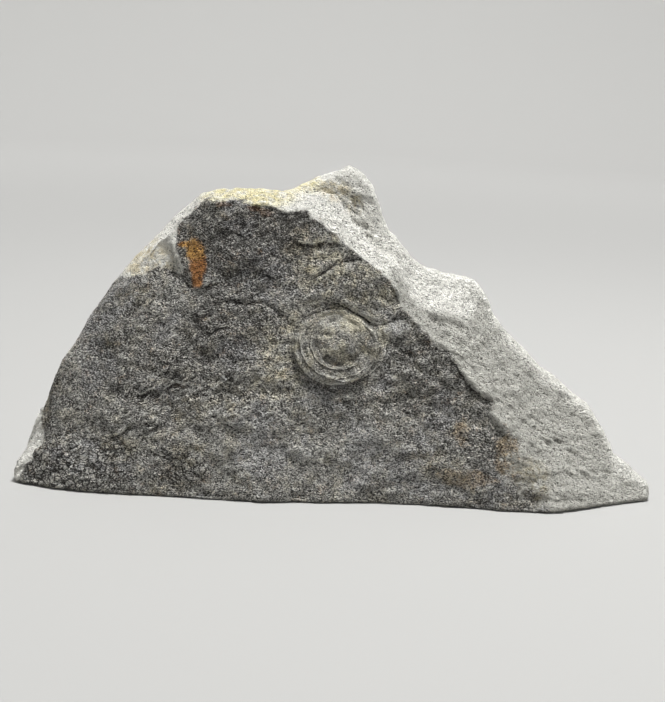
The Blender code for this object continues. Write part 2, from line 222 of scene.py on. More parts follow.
# ----------------------------------------------------------------------
# The jellyfish: the cast of a stranded medusa in the same sand as the slab. It is a low proud
# disc with a domed middle, pitted and cracked, and thin rings that the sand kept best below,
# where they stand over a hollow. Each part is an oval on the face, raised along the normal.

# Centre, half width and half height, height
DISC = ((1.5, 71.5), (20.5, 18), 2)
BOSS = ((2.8, 74.4), (10.8, 10), 1.6)
BOSS_ROUND = (2.0, 0.50)      # above and below: a dome at 0.5, a cone at 2 and more
DISC_STEP_SIDE = 243          # side where the disc ends in a step, in degrees from the right
DISC_STEP_TURN = (-0.2, 0.9)  # cosines of the angle from there where the step starts, is full
DISC_EDGE = 1.4               # width of the slope at the rim of the disc
MOAT = (19.4, 1.8, 0.4)       # hollow round the lower rim: distance below the centre, width, depth
# Rings: centre, half width and half height, height, width, side where strongest (degrees)
RINGS = [
    ((3, 74), (13.5, 12.3), 0.55, 0.8, 235),
    ((2.5, 74), (18.2, 16.2), 0.55, 0.8, 245),
    ((6, 73.5), (19.3, 17.2), 0.5, 0.7, 300),
    ((1.5, 71.5), (19.4, 17), 0.4, 0.9, 268),
    ((3.2, 74.2), (11, 10.2), -0.5, 1.4, 266),
]
RING_FAINTEST = 0.2           # share of a ring's height left on its weak side
RING_TURN = (-0.5, 0.6)       # cosines of the angle from its strongest side where it fades
RING_SIDES = (1.3, 0.6)       # its width towards the middle and away from it, as shares
RING_PATCHES = (4.0, 1.7)     # size of the patches where rings are higher or lower, and how much
RING_WANDER = 0.35            # how ragged the jellyfish is, as a share of the face's ragged lines
# Fine arcs between the rings, which only show close up, as above
ARCS = [
    ((3, 74), (15.6, 14.4), 0.35, 0.5, 262),
    ((4, 73.5), (16.4, 17.4), 0.35, 0.5, 280),
    ((4, 71.5), (17.1, 14), 0.40, 0.7, 355),
    ((4, 71.5), (15, 12.6), 0.20, 0.6, 345),
    ((2, 72), (17.2, 16.8), 0.45, 0.7, 140),
    ((2, 73), (14.2, 13.4), 0.30, 0.6, 140),
]
# Pits and knobs of the boss: centre, half width and half height, depth (below 0 for a knob)
PITS = [((3, 76.6), (0.8, 1.4), 1.1), ((4.2, 80.8), (2.6, 0.9), 1),
        ((-3.5, 77), (2.8, 0.9), 0.8), ((-4, 71.5), (2.2, 1.3), 0.4),
        ((-0.9, 79.4), (2.4, 1.4), -0.6), ((-6, 75), (1.8, 1.4), -0.35),
        ((6.4, 75), (2, 1.6), -0.5), ((3, 72), (2.4, 1.4), -0.5),
        ((8, 79.5), (1.8, 1.4), -0.3)]


def oval(x, z, centre, radii):
    """Distance from the middle of an oval, 1 on its edge, and the direction in degrees."""
    across, up = (x - centre[0]) / radii[0], (z - centre[1]) / radii[1]
    return np.hypot(across, up), np.degrees(np.arctan2(up, across))


def hump(away, width):
    """A bell curve of the distance: 1 on a line, and a third one width away from it."""
    return np.exp(-(away / width) ** 2)


def dome(out):
    """A rounded cap over an oval: 1 in its middle and 0 on its edge and beyond."""
    return np.clip(1 - out ** 2, 0, 1)


def facing(heading, side, start, full):
    """1 towards the side and 0 away from it, by the cosine of the angle between them."""
    return smooth(start, full, np.cos(np.radians(heading - side)))


def ring_strength(heading, strongest):
    """1 on a ring's strongest side, its faintest share on the far side."""
    return RING_FAINTEST + (1 - RING_FAINTEST) * facing(heading, strongest, *RING_TURN)


def ring(x, z, centre, radii, height, width, strongest):
    """A hoop on an oval, steep on its outer side, which fades away from its strongest side."""
    out, heading = oval(x, z, centre, radii)
    side = width * np.where(out < 1, *RING_SIDES)
    return height * ring_strength(heading, strongest) * hump((out - 1) * radii[0], side)


def fossil_relief(x, z):
    """Height of the jellyfish: a disc, a dome above and a proud step below, its boss, and rings."""
    centre, radii, height = DISC
    out, heading = oval(x, z, centre, radii)
    below = facing(heading, DISC_STEP_SIDE, *DISC_STEP_TURN)
    rim = smooth(0, DISC_EDGE, (1 - out) * radii[1])
    rise = height * (dome(out) + (rim - dome(out)) * below)
    place, width, depth = MOAT
    rise = rise - depth * below * hump(out * radii[1] - place, width)
    centre, radii, height = BOSS
    out, heading = oval(x, z, centre, radii)
    upper, lower = BOSS_ROUND
    rise = rise + height * dome(out) ** (upper + (lower - upper) * below)
    size, spread = RING_PATCHES
    uneven = 1 + lumps(np.stack([x, 0 * x, z], -1), [(size, spread)], seed=64, cells=64)
    for hoop in RINGS + ARCS:
        rise = rise + uneven * ring(x, z, *hoop)
    for centre, radii, depth in PITS:
        rise = rise - depth * hump(oval(x, z, centre, radii)[0], 1)
    return rise


# ----------------------------------------------------------------------
# The bedding face: the skin of the old sea floor, with thin beds that broke off along ragged
# edges, cracks, wrinkles from the mat that once covered the sand, and blisters at its left toe.
# Each edge is a line on the face. The bed above it stands proud, and it is undercut just below.

# Edges of beds: line (x, z), height of the step, how far the upper bed stays proud
BED_EDGES = [
    ([(-73, 100), (-67, 96), (-60, 92), (-55, 90), (-40, 90), (-30, 89), (-25, 84)], 0.35, 22),
    ([(-64, 95), (-60, 96.5), (-53, 101)], 1, 2.5),
    ([(-103, 24), (-95, 29), (-86, 31.5)], 0.7, 6),
    ([(46, 77), (54, 72), (60, 64), (68, 55), (75, 50)], 0.8, 6),
]
# Edges round the jellyfish, as above, which run smoother
CLEAN_EDGES = [
    ([(-12, 86.5), (-10, 87), (-3, 89.5), (3, 91.5)], 0.4, 6),
    ([(-1, 91.2), (2, 91.5), (6, 90), (12, 87), (20, 82.5)], 0.6, 9),
    ([(20, 82.5), (25, 84.5), (29, 86), (34, 89)], 0.5, 8),
    ([(-23, 121), (-19.5, 119.6), (-17.2, 118.1), (-15, 118.7), (-12.8, 117.8), (-10.6, 119.2),
      (-8.4, 119), (-6, 120), (-3.9, 119.2), (-1.8, 120), (0.5, 119.1), (4, 119.8)], 1, 1.2),
]
# Small edges that only show close up, as above
FINE_EDGES = [
    ([(-57, 122), (-54, 123.6), (-50, 124.5)], 0.6, 3),
    ([(-63, 112), (-60, 115)], 0.6, 3),
    ([(-90, 45), (-85, 47), (-80, 50)], 1, 1.2),
    ([(-79, 48), (-73, 51), (-66, 52)], 0.9, 1.2),
    ([(47, 74.5), (51, 73.6), (55, 72.3), (60, 69.5)], 1, 1.5),
    ([(-47, 112), (-41, 110), (-36, 111)], 0.5, 3),
    ([(-36, 104), (-30, 102), (-22, 104)], 0.5, 3.5),
    ([(-20, 113), (-12, 112), (-4, 114)], 0.5, 3),
    ([(-60, 75), (-51, 79), (-44, 77), (-38, 74)], 0.5, 3.5),
    ([(-44, 64), (-36, 66), (-28, 65)], 0.5, 3),
    ([(-30, 74), (-22, 73), (-17, 74)], 0.4, 2.5),
    ([(-92, 84), (-84, 82), (-76, 83)], 0.5, 3),
    ([(-84, 22), (-77, 18), (-72, 21)], 0.6, 3),
    ([(-66, 13), (-58, 12)], 0.5, 2.5),
    ([(-20, 35), (-12, 37), (-5, 35)], 0.4, 3),
    ([(-58, 32), (-50, 35), (-43, 34)], 0.4, 3),
]
# Cracks: line (x, z), depth, half width
CRACKS = [
    ([(20, 48), (27, 47), (34, 51), (48, 50)], 0.6, 1),
]
# Cracks round the jellyfish, as above, which run smoother
CLEAN_CRACKS = [
    ([(-4, 91), (2, 91.7), (9.5, 88.2), (18.8, 82.4), (20.8, 81.4)], 0.9, 0.9),
    ([(20.8, 81.4), (25, 84), (29.7, 87.2), (33, 89)], 0.8, 0.6),
    ([(-12, 102), (-7.5, 104.7), (-1, 109.6), (5.7, 111.8), (11.8, 112.8), (15, 111.5)], 0.95, 0.9),
]
# Small cracks, as above
FINE_CRACKS = [
    ([(-52, 90.3), (-40, 90.2), (-34, 90.6), (-29, 88.5), (-24, 83.6)], 0.85, 0.7),
    ([(-71, 41), (-62, 46), (-54, 48), (-47, 51)], 0.6, 0.9),
    ([(27, 47), (25, 41), (27, 37)], 0.5, 0.8),
    ([(39, 50), (44, 56), (47, 63)], 0.5, 0.8),
    ([(31, 49), (33, 56), (38, 60)], 0.4, 0.8),
    ([(-26, 79), (-19, 78.5), (-14, 77)], 0.3, 0.6),
]
# Swellings of the bed: centre, half width and half height, height
SWELLS = [((9, 101), (20, 12), 1.1), ((29, 81), (7, 5), 1.1), ((-34, 60), (16, 10), 0.4),
          ((-52, 40), (18, 9), 0.6), ((-100, 74), (14, 9), 0.6), ((-48, 112), (16, 8), 0.8),
          ((20, 30), (18, 9), 0.7), ((60, 18), (14, 7), 0.7),
          ((35, 62), (3.4, 2.6), 0.8), ((42, 67), (3.8, 2.8), 0.9), ((49, 56), (3.4, 2.8), 0.9),
          ((54, 61), (4, 3), 0.9), ((50, 51), (2.8, 2.3), 0.7), ((33, 54), (3.2, 2.5), 0.7),
          ((60, 48), (3.6, 2.8), 0.8), ((28, 58), (2.6, 2.1), 0.7), ((3, 48.5), (2.2, 1.7), 0.9),
          ((9, 49), (2.4, 1.9), 0.9), ((-1, 46), (2, 1.6), 0.8)]
LINE_FADE = 4.0               # length over which an edge or a crack dies out at its ends
FINE_FADE = 1.5               # and a small one
# The lines together: which, how ragged they run, and how they die out
ALL_EDGES = [(BED_EDGES, 1, LINE_FADE), (CLEAN_EDGES, RING_WANDER, LINE_FADE),
             (FINE_EDGES, 1, FINE_FADE)]
ALL_CRACKS = [(CRACKS, 1, LINE_FADE), (CLEAN_CRACKS, RING_WANDER, LINE_FADE),
              (FINE_CRACKS, 1, FINE_FADE)]
EDGE_STEP = (-0.3, 0.45)      # distances from an edge at which its step starts and is full
EDGE_NOTCH = (0.30, 0.9)      # undercut: depth as a share of the step, and how wide and far below
FADE_GAP = 2.5                # a line's end counts as this much further away
FAINT_GAP = 0.9               # and so does a line, for each millimetre that its step is under one
FAR = 9.0                     # distance that counts as away from every line
RAGGED = (3.0, 1.8)           # size and reach of the wander that makes the lines ragged
RAGGED_FINER = (2.2, 2.5)     # a second one is this many times smaller, and reaches so much less
WRINKLES = ((7.0, 2.2, 2.2), 30, 0.9)    # size along and across, lean in degrees, height
WRINKLED = [(-66, 52, 26, 9), (-40, 40, 16, 8), (-88, 32, 14, 8), (-52, 124, 16, 8)]

# Flakes: paper-thin beds that peeled in patches, each a small step down with a ragged outline
FLAKE_SIZES = [(16, 1), (7, 0.5), (3, 0.22)]
FLAKE_LEVELS, FLAKE_HEIGHT = 5.0, 0.5
FLAKE_STEP = 0.22             # share of a terrace that the step to the next one takes
FLAKE_EVENED = 0.6            # share of the climb from terrace to terrace that is taken off
FLAKED = [(-45, 110, 46, 32), (-80, 78, 40, 26), (-10, 118, 30, 16), (40, 84, 16, 20),
          (50, 48, 30, 30), (-60, 50, 50, 26), (-90, 24, 40, 16), (-20, 22, 50, 24)]
FLAKE_FAINTEST = 0.35         # share of their height left elsewhere
FLAKELESS = (0.95, 1.3)       # shares of the disc's size where they start round it and are full

# Blisters: packed round bumps, over these places (x, z, half width, half height)
BLISTER_SIZE = 3.4
BLISTER_HEIGHT = 0.45
BLISTER_SEAM = 0.55           # how far the furrow between two reaches up their sides, as a share
BLISTERED = [(-122, 8, 26, 15), (-100, 14, 14, 12), (-66, 14, 14, 9)]
OVAL_EDGE = (1.25, 0.55)      # shares of an oval place's size at which it starts and is full


def to_span(x, z, start, span):
    """Distance to a straight span, and the share of the way along it where it is nearest."""
    (x0, z0), (ux, uz) = start, span
    along = np.clip(((x - x0) * ux + (z - z0) * uz) / (ux * ux + uz * uz), 0, 1)
    return np.hypot(x - x0 - along * ux, z - z0 - along * uz), along


def beside(line, x, z, fade_length):
    """Signed distance from a line that runs to the right, positive above it, and end fade."""
    corners = np.array(line, dtype=float)
    spans = np.diff(corners, axis=0)
    lengths = np.hypot(*spans.T)
    passed = np.concatenate([[0], np.cumsum(lengths)])
    best, side, place = np.full(x.shape, 1e9), np.ones(x.shape), np.zeros(x.shape)
    for start, span, length, before in zip(corners, spans, lengths, passed):
        gap, along = to_span(x, z, start, span)
        nearer = gap < best
        best = np.where(nearer, gap, best)
        above = np.sign(span[0] * (z - start[1]) - span[1] * (x - start[0]))
        side = np.where(nearer, above, side)
        place = np.where(nearer, before + along * length, place)
    fade = smooth(0, fade_length, np.minimum(place, passed[-1] - place))
    return best * side, fade


def over(places, x, z):
    """1 in the middle of each oval place (x, z, half width, half height), 0 well outside."""
    cover = np.zeros(x.shape)
    for centre_x, centre_z, wide, high in places:
        out = oval(x, z, (centre_x, centre_z), (wide, high))[0]
        cover = np.maximum(cover, smooth(*OVAL_EDGE, out))
    return cover


def blisters(x, z, size, seed):
    """Packed bumps: 1 at each scattered centre, 0 half way to the next one."""
    gap = [np.full(x.shape, 9.0), np.full(x.shape, 9.0)]
    random = np.random.default_rng(seed).random((2, 128, 128))
    column, row = np.floor(x / size).astype(int), np.floor(z / size).astype(int)
    for step_x, step_z in np.ndindex(3, 3):
        i, j = column + step_x - 1, row + step_z - 1
        shift = random[:, i % 128, j % 128]
        away = np.hypot(x / size - i - shift[0], z / size - j - shift[1])
        gap[1] = np.minimum(gap[1], np.maximum(gap[0], away))
        gap[0] = np.minimum(gap[0], away)
    return smooth(0, BLISTER_SEAM, gap[1] - gap[0])


def turned(points, degrees, sizes):
    """The points with X and Z turned in the face's plane and each axis divided by its size."""
    across = points[..., 0] * cos(radians(degrees)) + points[..., 2] * sin(radians(degrees))
    up = points[..., 2] * cos(radians(degrees)) - points[..., 0] * sin(radians(degrees))
    return np.stack([across / sizes[0], points[..., 1] / sizes[1], up / sizes[2]], -1)


def flakes(points):
    """Terraces of a smooth random field: level ground, then a short steep step to the next."""
    levels = FLAKE_LEVELS * lumps(points, FLAKE_SIZES, 75, cells=64)
    part = levels - np.floor(levels)
    return FLAKE_HEIGHT * (np.floor(levels) + smooth(0, FLAKE_STEP, part) - levels * FLAKE_EVENED)


def ragged(points, share=1.0):
    """X and Z of the points, shifted by a share of a random wander, so that lines run ragged."""
    (size, reach), (finer, less) = RAGGED, RAGGED_FINER
    wander = [share * lumps(points, [(size, reach), (size / finer, reach / less)], seed, cells=64)
              for seed in (80, 84)]
    return points[..., 0] + wander[0], points[..., 2] + wander[1]


def measured(points, groups):
    """For each line of the groups: signed distance, end fade, and its own two sizes."""
    for lines, wander, fade_length in groups:
        x, z = ragged(points, wander)
        for line, height, width in lines:
            yield (*beside(line, x, z, fade_length), height, width)


def counted(above, fade, height):
    """Distance from a line, made greater past its ends and where the line is low."""
    return np.abs(above) + FADE_GAP * (1 - fade) + FAINT_GAP * (1 - height)


def nearest_ledge(points):
    """Distance to the nearest ledge or ring, positive on its upper or inner side."""
    found = [sizes[:3] for sizes in measured(points, ALL_EDGES)]
    x, z = ragged(points, RING_WANDER)
    for centre, radii, height, _, strongest in RINGS:
        out, heading = oval(x, z, centre, radii)
        if height > 0:
            found.append(((1 - out) * radii[0], ring_strength(heading, strongest), height))
    nearest = np.full(points.shape[:-1], FAR)
    for above, fade, height in found:
        away = counted(above, fade, height)
        nearest = np.where(away < np.abs(nearest), np.copysign(away, above), nearest)
    return nearest


def nearest_crack(points):
    """Distance to the nearest crack."""
    nearest = np.full(points.shape[:-1], FAR)
    for above, fade, depth, _ in measured(points, ALL_CRACKS):
        nearest = np.minimum(nearest, counted(above, fade, depth))
    return nearest


def face_relief(points):
    """Height of everything that stands out of, or is sunk in, the bedding face.

    An edge is a step up from its line that fades away above it, less a notch just below. Cracks
    are grooves, swellings are caps, and blisters, wrinkles and flakes fill their oval places.
    """
    x, z = points[..., 0], points[..., 2]
    rise = fossil_relief(*ragged(points, RING_WANDER))
    notch, notch_width = EDGE_NOTCH
    for above, fade, height, reach in measured(points, ALL_EDGES):
        proud = smooth(*EDGE_STEP, above) * np.exp(-np.clip(above, 0, None) / reach)
        under = notch * hump(above + notch_width, notch_width)
        rise = rise + height * fade * (proud - under)
    for above, fade, depth, width in measured(points, ALL_CRACKS):
        rise = rise - depth * fade * hump(above, width)
    for centre, radii, height in SWELLS:
        rise = rise + height * dome(oval(x, z, centre, radii)[0])
    bumps = blisters(*ragged(points), BLISTER_SIZE, seed=90)
    rise = rise + BLISTER_HEIGHT * over(BLISTERED, x, z) * bumps
    sizes, lean, height = WRINKLES
    folds = 1 - 2 * np.abs(lumps(turned(points, lean, sizes), [(1, 1)], 60, cells=64))
    rise = rise + height * over(WRINKLED, x, z) * folds ** 3
    away = smooth(*FLAKELESS, oval(x, z, *DISC[:2])[0])
    peeled = FLAKE_FAINTEST + (1 - FLAKE_FAINTEST) * over(FLAKED, x, z)
    return rise + away * peeled * flakes(points)


# ----------------------------------------------------------------------
# The broken surfaces: where the slab was split and chipped, so clean sand shows. The left chip
# is a flat facet cut back into the face. The back steps down from bed to bed, and thin beds show
# as faint ribs on the flank.

CHIP = [(-104, 97), (-98, 97), (-90, 100), (-84, 104), (-77, 103), (-72, 101)]
CHIP_END = [(95, -72), (101, -76), (110, -81), (125, -84)]   # its right end (z, x)
CHIP_SLOPE = 0.25             # how fast the facet falls back from the face as it rises
CHIP_REACH = 3.0              # how far it runs on under the skin past its right end
CHIP_FADE = 18.0              # distance over which it dies out there
CHIP_BARE = 1.5               # depth of the cut at which nothing of the skin's relief is left

# Partings between the beds, as depths behind the front face, which show as steps on the back
PARTINGS = [0, 24, 33, 51, 57, 74, 83, 100]
PARTING_DRIFT = [(55, 26)]    # size and height of the lumps that let a step wander
STEP_STRENGTH = 0.8
STEP_SPAN = (0.2, 0.8)        # shares of a bed's thickness between which it steps to the next
THIN_BEDS = (4.2, 0.40)       # spacing of the thin beds, and how proud they stand
THIN_BED_DRIFT = [(24, 9), (9, 3)]    # lumps that let them wander
THIN_BED_TOP = 0.75           # where a rib is highest, as a share of the spacing

# Unevenness: size and height of the lumps
FACE_LUMPS = [(30, 2.2), (12, 1.8), (5, 0.9)]
BREAK_LUMPS = [(38, 4), (15, 2.6), (6, 1.2)]
CALM_LUMPS = [(38, 4), (15, 2), (6, 0.8)]   # in front, where the break is smoother
FACE_GRAIN = [(2.8, 0.8), (1.6, 0.45)]
BREAK_GRAIN = [(3, 0.9), (1.7, 0.5)]
FLANK_RIPPLES = ((7.0, 4.0, 2.2), -24, 1.8)     # size along and across, lean in degrees, height
# Ridges on the flank: line (x, z), height, half width
FLANK_RIDGES = [
    ([(46, 76), (50, 75.5), (57, 73), (62, 69.5), (66, 68)], 1.3, 1.5),
    ([(60, 74), (66, 73.5), (70, 75), (75, 79), (82, 82)], 1, 1.8),
    ([(36, 90), (44, 89), (53, 88), (61, 86), (68, 83), (76, 79)], 0.9, 2),
    ([(72, 66), (80, 66), (88, 70)], 0.7, 1.8),
    ([(76, 56), (84, 53), (92, 53), (99, 57)], 0.6, 2),
    ([(84, 44), (93, 42), (104, 45)], 0.6, 2.2),
    ([(90, 32), (100, 30), (112, 33), (122, 32)], 0.6, 2.2),
    ([(98, 18), (110, 19), (122, 16), (134, 17)], 0.5, 2.2),
    ([(108, 8), (120, 9), (133, 6), (146, 7)], 0.5, 2),
]
FLANK_CRACK = ([(60, 68), (62, 69.2), (65.5, 68.5)], 1.0, 0.7)
CREST_ROLL = (4.5, 1.8)       # distance below the crest and height of the roll that rounds it
LUMP_SEED = 3
CREST_HOLD = 14.0             # the unevenness calms down this close to the crest
CREST_CALM = 0.8              # and loses this share of its height there
BASE_HOLD = 2.0               # nothing is moved at the base, and all of it above this height
RIDGE_BLEND = (-0.7, 0.9)     # the face turns into the fresh break from this far past the ridge
WORN_BLEND = 9.0              # and this many times further again where the ridge is worn


def chip_cut(x, y, z):
    """How far the left chip's facet lies behind the point (x, y, z), 0 where it is in front.

    Above the chip's lower line the facet falls back from the face's plane, less so towards its
    right end. Past that end it comes forward, out of the stone.
    """
    low, end = rail(CHIP, x)[0], rail(CHIP_END, z)[0]
    past = x - end - CHIP_REACH
    rise = (z - low) * np.where(z > low, np.clip(-past / CHIP_FADE, 0, 1), 1)
    facet = z * tan(FACE_LEAN) + CHIP_SLOPE * rise - np.clip(past, 0, None)
    inside = smooth(CHIP[0][0], CHIP[1][0], x)
    return np.clip(facet - y, 0, None) * inside


def into_beds(points, drift, seed):
    """Depth of the points behind the plane of the face, made uneven by the drift."""
    depth = points[..., 1] * cos(FACE_LEAN) - points[..., 2] * sin(FACE_LEAN)
    return depth + lumps(points, drift, seed)


def bed_steps(points):
    """Shift of the back towards whole beds, which lie parallel to the front face."""
    depth = np.clip(into_beds(points, PARTING_DRIFT, LUMP_SEED + 20), 1, PARTINGS[-1] - 1)
    bed = np.searchsorted(PARTINGS, depth)
    near, far = np.take(PARTINGS, bed - 1), np.take(PARTINGS, bed)
    part = (depth - near) / (far - near)
    return STEP_STRENGTH * (far - near) * (smooth(*STEP_SPAN, part) - part)


def thin_beds(points):
    """Ribs where thin beds end on a break: a rounded saw tooth of the depth behind the face."""
    spacing, height = THIN_BEDS
    part = (into_beds(points, THIN_BED_DRIFT, LUMP_SEED + 30) / spacing) % 1
    return height * (smooth(0, THIN_BED_TOP, part) - smooth(THIN_BED_TOP, 1, part))


def flank_ridges(x, z):
    """Height of the ridges on the flank, less its one open crack."""
    rise = np.zeros(x.shape)
    for line, height, width in FLANK_RIDGES:
        away, fade = beside(line, x, z, LINE_FADE)
        rise = rise + height * fade * hump(away, width)
    line, depth, width = FLANK_CRACK
    away, fade = beside(line, x, z, FINE_FADE)
    return rise - depth * fade * hump(away, width)


def normals(points):
    """Unit vectors out of the surface: the cross product of its slopes along and up."""
    outward = np.cross(np.gradient(points, axis=0), np.gradient(points, axis=1))
    return outward / np.maximum(np.linalg.norm(outward, axis=2, keepdims=True), 1e-9)


def stone_surface():
    """The slab before and after its relief, the relief, the front rows, the way to the crest.

    Relief is height along the normal: the face's below the ridge, the break's above and behind,
    none at the base. Then the chip is cut back and the back moves towards whole beds.
    """
    points, ridge, crest = slab_form()
    crest = crest[:, None]
    x, y, z = np.moveaxis(points, 2, 0)
    rows = np.arange(points.shape[1])[None, :]
    is_front = rows < FRONT_ROWS
    is_base = rows >= FRONT_ROWS + BACK_ROWS
    off_base = smooth(0, BASE_HOLD, z)
    cut = is_front * chip_cut(x, y, z)
    blend = 1 + WORN_BLEND * smooth(*SOFT_RIDGE, x)
    bedding = (is_front * smooth(*RIDGE_BLEND, (ridge[:, None] - z) / blend)
               * smooth(CHIP_BARE, 0, cut))
    to_crest = np.linalg.norm(points[..., 1:] - crest, axis=2)
    near_crest = smooth(CREST_HOLD, 0, to_crest)
    reach, roll = CREST_ROLL
    roll = roll * is_front * (to_crest / reach) * np.exp(1 - to_crest / reach)
    sizes, lean, height = FLANK_RIPPLES
    ripples = height * (0.2 - np.abs(lumps(turned(points, lean, sizes), [(1, 1)], 62, cells=64)))
    on_face = (face_relief(points) + lumps(points, FACE_LUMPS, LUMP_SEED)
               + lumps(points, FACE_GRAIN, 40, cells=96))
    large = np.where(is_front, lumps(points, CALM_LUMPS, LUMP_SEED + 10),
                     lumps(points, BREAK_LUMPS, LUMP_SEED + 10))
    on_break = ((1 - CREST_CALM * near_crest) * (large + thin_beds(points) + ripples)
                + lumps(points, BREAK_GRAIN, 50, cells=96) + roll
                + is_front * flank_ridges(x + ripples, z + ripples))
    rise = (bedding * on_face + (1 - bedding) * on_break) * off_base * ~is_base
    moved = points + rise[..., None] * normals(points)
    moved[..., 1] += cut
    moved[..., 1] += ~is_front * off_base * (1 - near_crest) * bed_steps(points)
    moved[..., 2] = np.maximum(moved[..., 2], 0)
    return points, moved, rise, is_front, to_crest


# ----------------------------------------------------------------------
# Stains: the bedding face is a dark skin of iron and manganese with a ragged edge, washed out to
# beige round the jellyfish, with rust spots. They are only colour, so they are kept on the mesh
# as fields that the stone's material reads. Some of the fields place painted light and shade.

# Edge of the dark skin (x, z), from the left toe over the top and down to the right
SKIN_EDGE = [(-146, -6), (-143, 7), (-139.5, 10), (-134.5, 19), (-134.5, 28), (-133.6, 42),
             (-129, 54), (-124, 63), (-116.5, 75), (-109, 88), (-101, 97), (-97, 98), (-90, 100),
             (-84, 104.5), (-77, 102), (-71.5, 100.5), (-72.5, 104), (-74, 108), (-76.5, 113),
             (-76, 119), (-76, 124), (-73.5, 127), (-69, 131), (-62, 136), (-58, 135), (-50, 136),
             (-43, 135.5), (-40, 134.5), (-31, 134.5), (-28, 133), (-25, 132.5), (-20, 133.5),
             (-15, 132.5), (-14, 130), (-10, 129.5), (-7, 128), (-4, 126), (-1, 123.5),
             (2, 121.5), (5, 119), (8, 117), (12, 113.3), (16, 110), (20, 107.5), (24, 103.7),
             (28, 99.5), (29.5, 95), (31, 90.8), (33.5, 88.6), (36.5, 86.5), (40, 83),
             (43, 80.5), (46, 77), (50, 73.3), (54, 73), (56, 71), (58, 69.5), (60, 65),
             (62, 62), (66, 57.5), (69, 55), (72, 52.5), (75, 51), (76, 49), (76, 45), (77, 42),
             (79, 40), (83, 36.5), (90, 33), (90, 31), (89, 28), (87, 22), (86, 20), (87, 17),
             (93, 14), (99, 10), (101, 6), (107, 1), (110, -6)]

# Places (x, z, half width, half height)
RUST = [(-67, 112, 4.6, 6.5), (-65, 106, 4.4, 7), (-72, 115, 4, 1.4), (-65, 99, 3, 4)]
SMALL_RUST = [(-40, 133.5, 5, 2), (-35, 131.5, 4, 2.5), (-55, 134, 5, 1.5)]
TAN_SPOTS = [(63, 35.5, 5, 6), (64, 34, 3, 4), (85, 30, 6, 6), (66, 14, 16, 5),
             (85, 22, 7, 7)]
OCHRE = [(-66, 40, 8, 8), (-64, 20, 8, 9), (-93, 89, 10, 6), (-47, 45, 8, 9),
         (-34, 77, 6, 6), (-16, 113, 8, 9), (-27, 62, 8, 8), (-70, 5, 12, 6),
         (-105, 68, 6, 5), (-134, 33, 4, 14), (50, 21, 14, 6), (-98, 22, 9, 7),
         (75, 6, 16, 5), (-12, 125, 12, 4)]
WASHED = [(2, 78, 25, 24), (8, 100, 26, 14), (-24, 58, 16, 12), (-20, 70, 16, 18),
          (-8, 112, 18, 14)]
# Patches of the skin (x, z, half width, half height) and how much paler each is. Most are the
# skin's own tone; the first two, on the up-facing top of the disc and below the thin line right of
# it, are painted highlights, and the one at the lower rim of the boss is painted shade
TONES_AND_LIGHT = [(6, 84.5, 14, 5, 0.36), (28, 81, 8, 5, 0.26), (0, 24, 30, 16, 0.12),
         (-48, 24, 22, 18, 0.11), (-59, 13, 18, 12, 0.06), (-18, 52, 12, 12, 0.06),
         (36, 30, 18, 14, 0.06), (44, 60, 22, 17, -0.06), (54, 40, 18, 10, -0.02),
         (-46, 114, 32, 22, -0.33), (-20, 124, 24, 9, -0.12), (-48, 78, 26, 14, -0.28),
         (-94, 56, 26, 16, -0.13), (2, 66, 8, 3.5, -0.12), (66, 26, 18, 10, -0.08),
         (36, 76, 8, 8, -0.12), (-62, 60, 26, 8, -0.14), (-104, 76, 20, 14, -0.10),
         (8, 99, 22, 10, -0.13), (-39, 131, 5, 3, -0.35), (-26, 54, 16, 10, -0.05),
         (-118, 40, 14, 16, -0.08), (-128, 8, 16, 10, -0.02)]
GOLDEN = [(-68, 113, 7, 6)]
TOP_YELLOW = [(-46, 138, 26, 6), (-18, 143, 10, 5)]
# Darker tan patches on the break: dirt, and painted shade on the steep hollow behind the brow
BREAK_DIRT_AND_SHADE = [(-3, 141, 8, 5), (7, 135, 4, 5), (96, 12, 10, 12), (-90, 106, 14, 10)]
# Places of paler sand: on the left chip it is painted light where the facet lies in shade; at the
# left toe it is paler sand
CLEAN_AND_LIT_SAND = [(-87, 112, 12, 9), (-142, 14, 8, 16)]
SMUDGED = (88, 12, 26, 26)    # where the skin's edge is washed out, and how many times wider
SMUDGE = 9.0
EDGE_WANDER = 0.6             # how ragged the skin's edge is, as a share of the ragged lines
BRUISE = (7.0, 2.0)           # distances from the crest where its bruised pale edge ends, is full
STEEP_RIDGE = (40, 28)        # stations where strokes along the flank turn down the ridge
UNDERCUT_TURN = (0.45, 0.9)   # cosines of the angle from the disc's step where the painted shade in its hollow starts and is full
SKIN_DEPTH = 20.0             # distances in from the skin's edge count no further than this
PROUD_PASSES = 14             # averaging passes for the surroundings that a place stands out from
PROUD_LIMIT = 1.5             # and the most that it counts as above or below them
# Grey weathering of the flank, below the shoulder and further right below the crest, which is also
# painted shade that keeps the flank darker than the up-facing top
GREY_START = (20, 32)         # stations where it starts and is full
GREY_CLIMB = (60, 78)         # stations where its limit leaves the shoulder, and nears the crest
GREY_RIM = 5.0                # how far below the crest its limit stays there
GREY_EDGE = (2.0, -4.0)       # heights above its limit where it starts and is full
FLECKS = [(-50, 56, 1.1, 1), (-48.5, 55, 0.8, 0.7)]     # loose pale quartz flecks


def within(outline, x, z):
    """Distance in from an outline, negative outside: nearest span, and crossings for the sign."""
    corners = np.array(outline, dtype=float)
    gap, inside = np.full(x.shape, 1e9), np.zeros(x.shape, dtype=bool)
    for start, end in zip(corners, np.roll(corners, -1, 0)):
        (x0, z0), (ux, uz) = start, end - start
        gap = np.minimum(gap, to_span(x, z, start, end - start)[0])
        if uz:
            crosses = (z0 > z) != (end[1] > z)
            inside ^= crosses & (x < x0 + (z - z0) * ux / uz)
    return np.where(inside, gap, -gap)


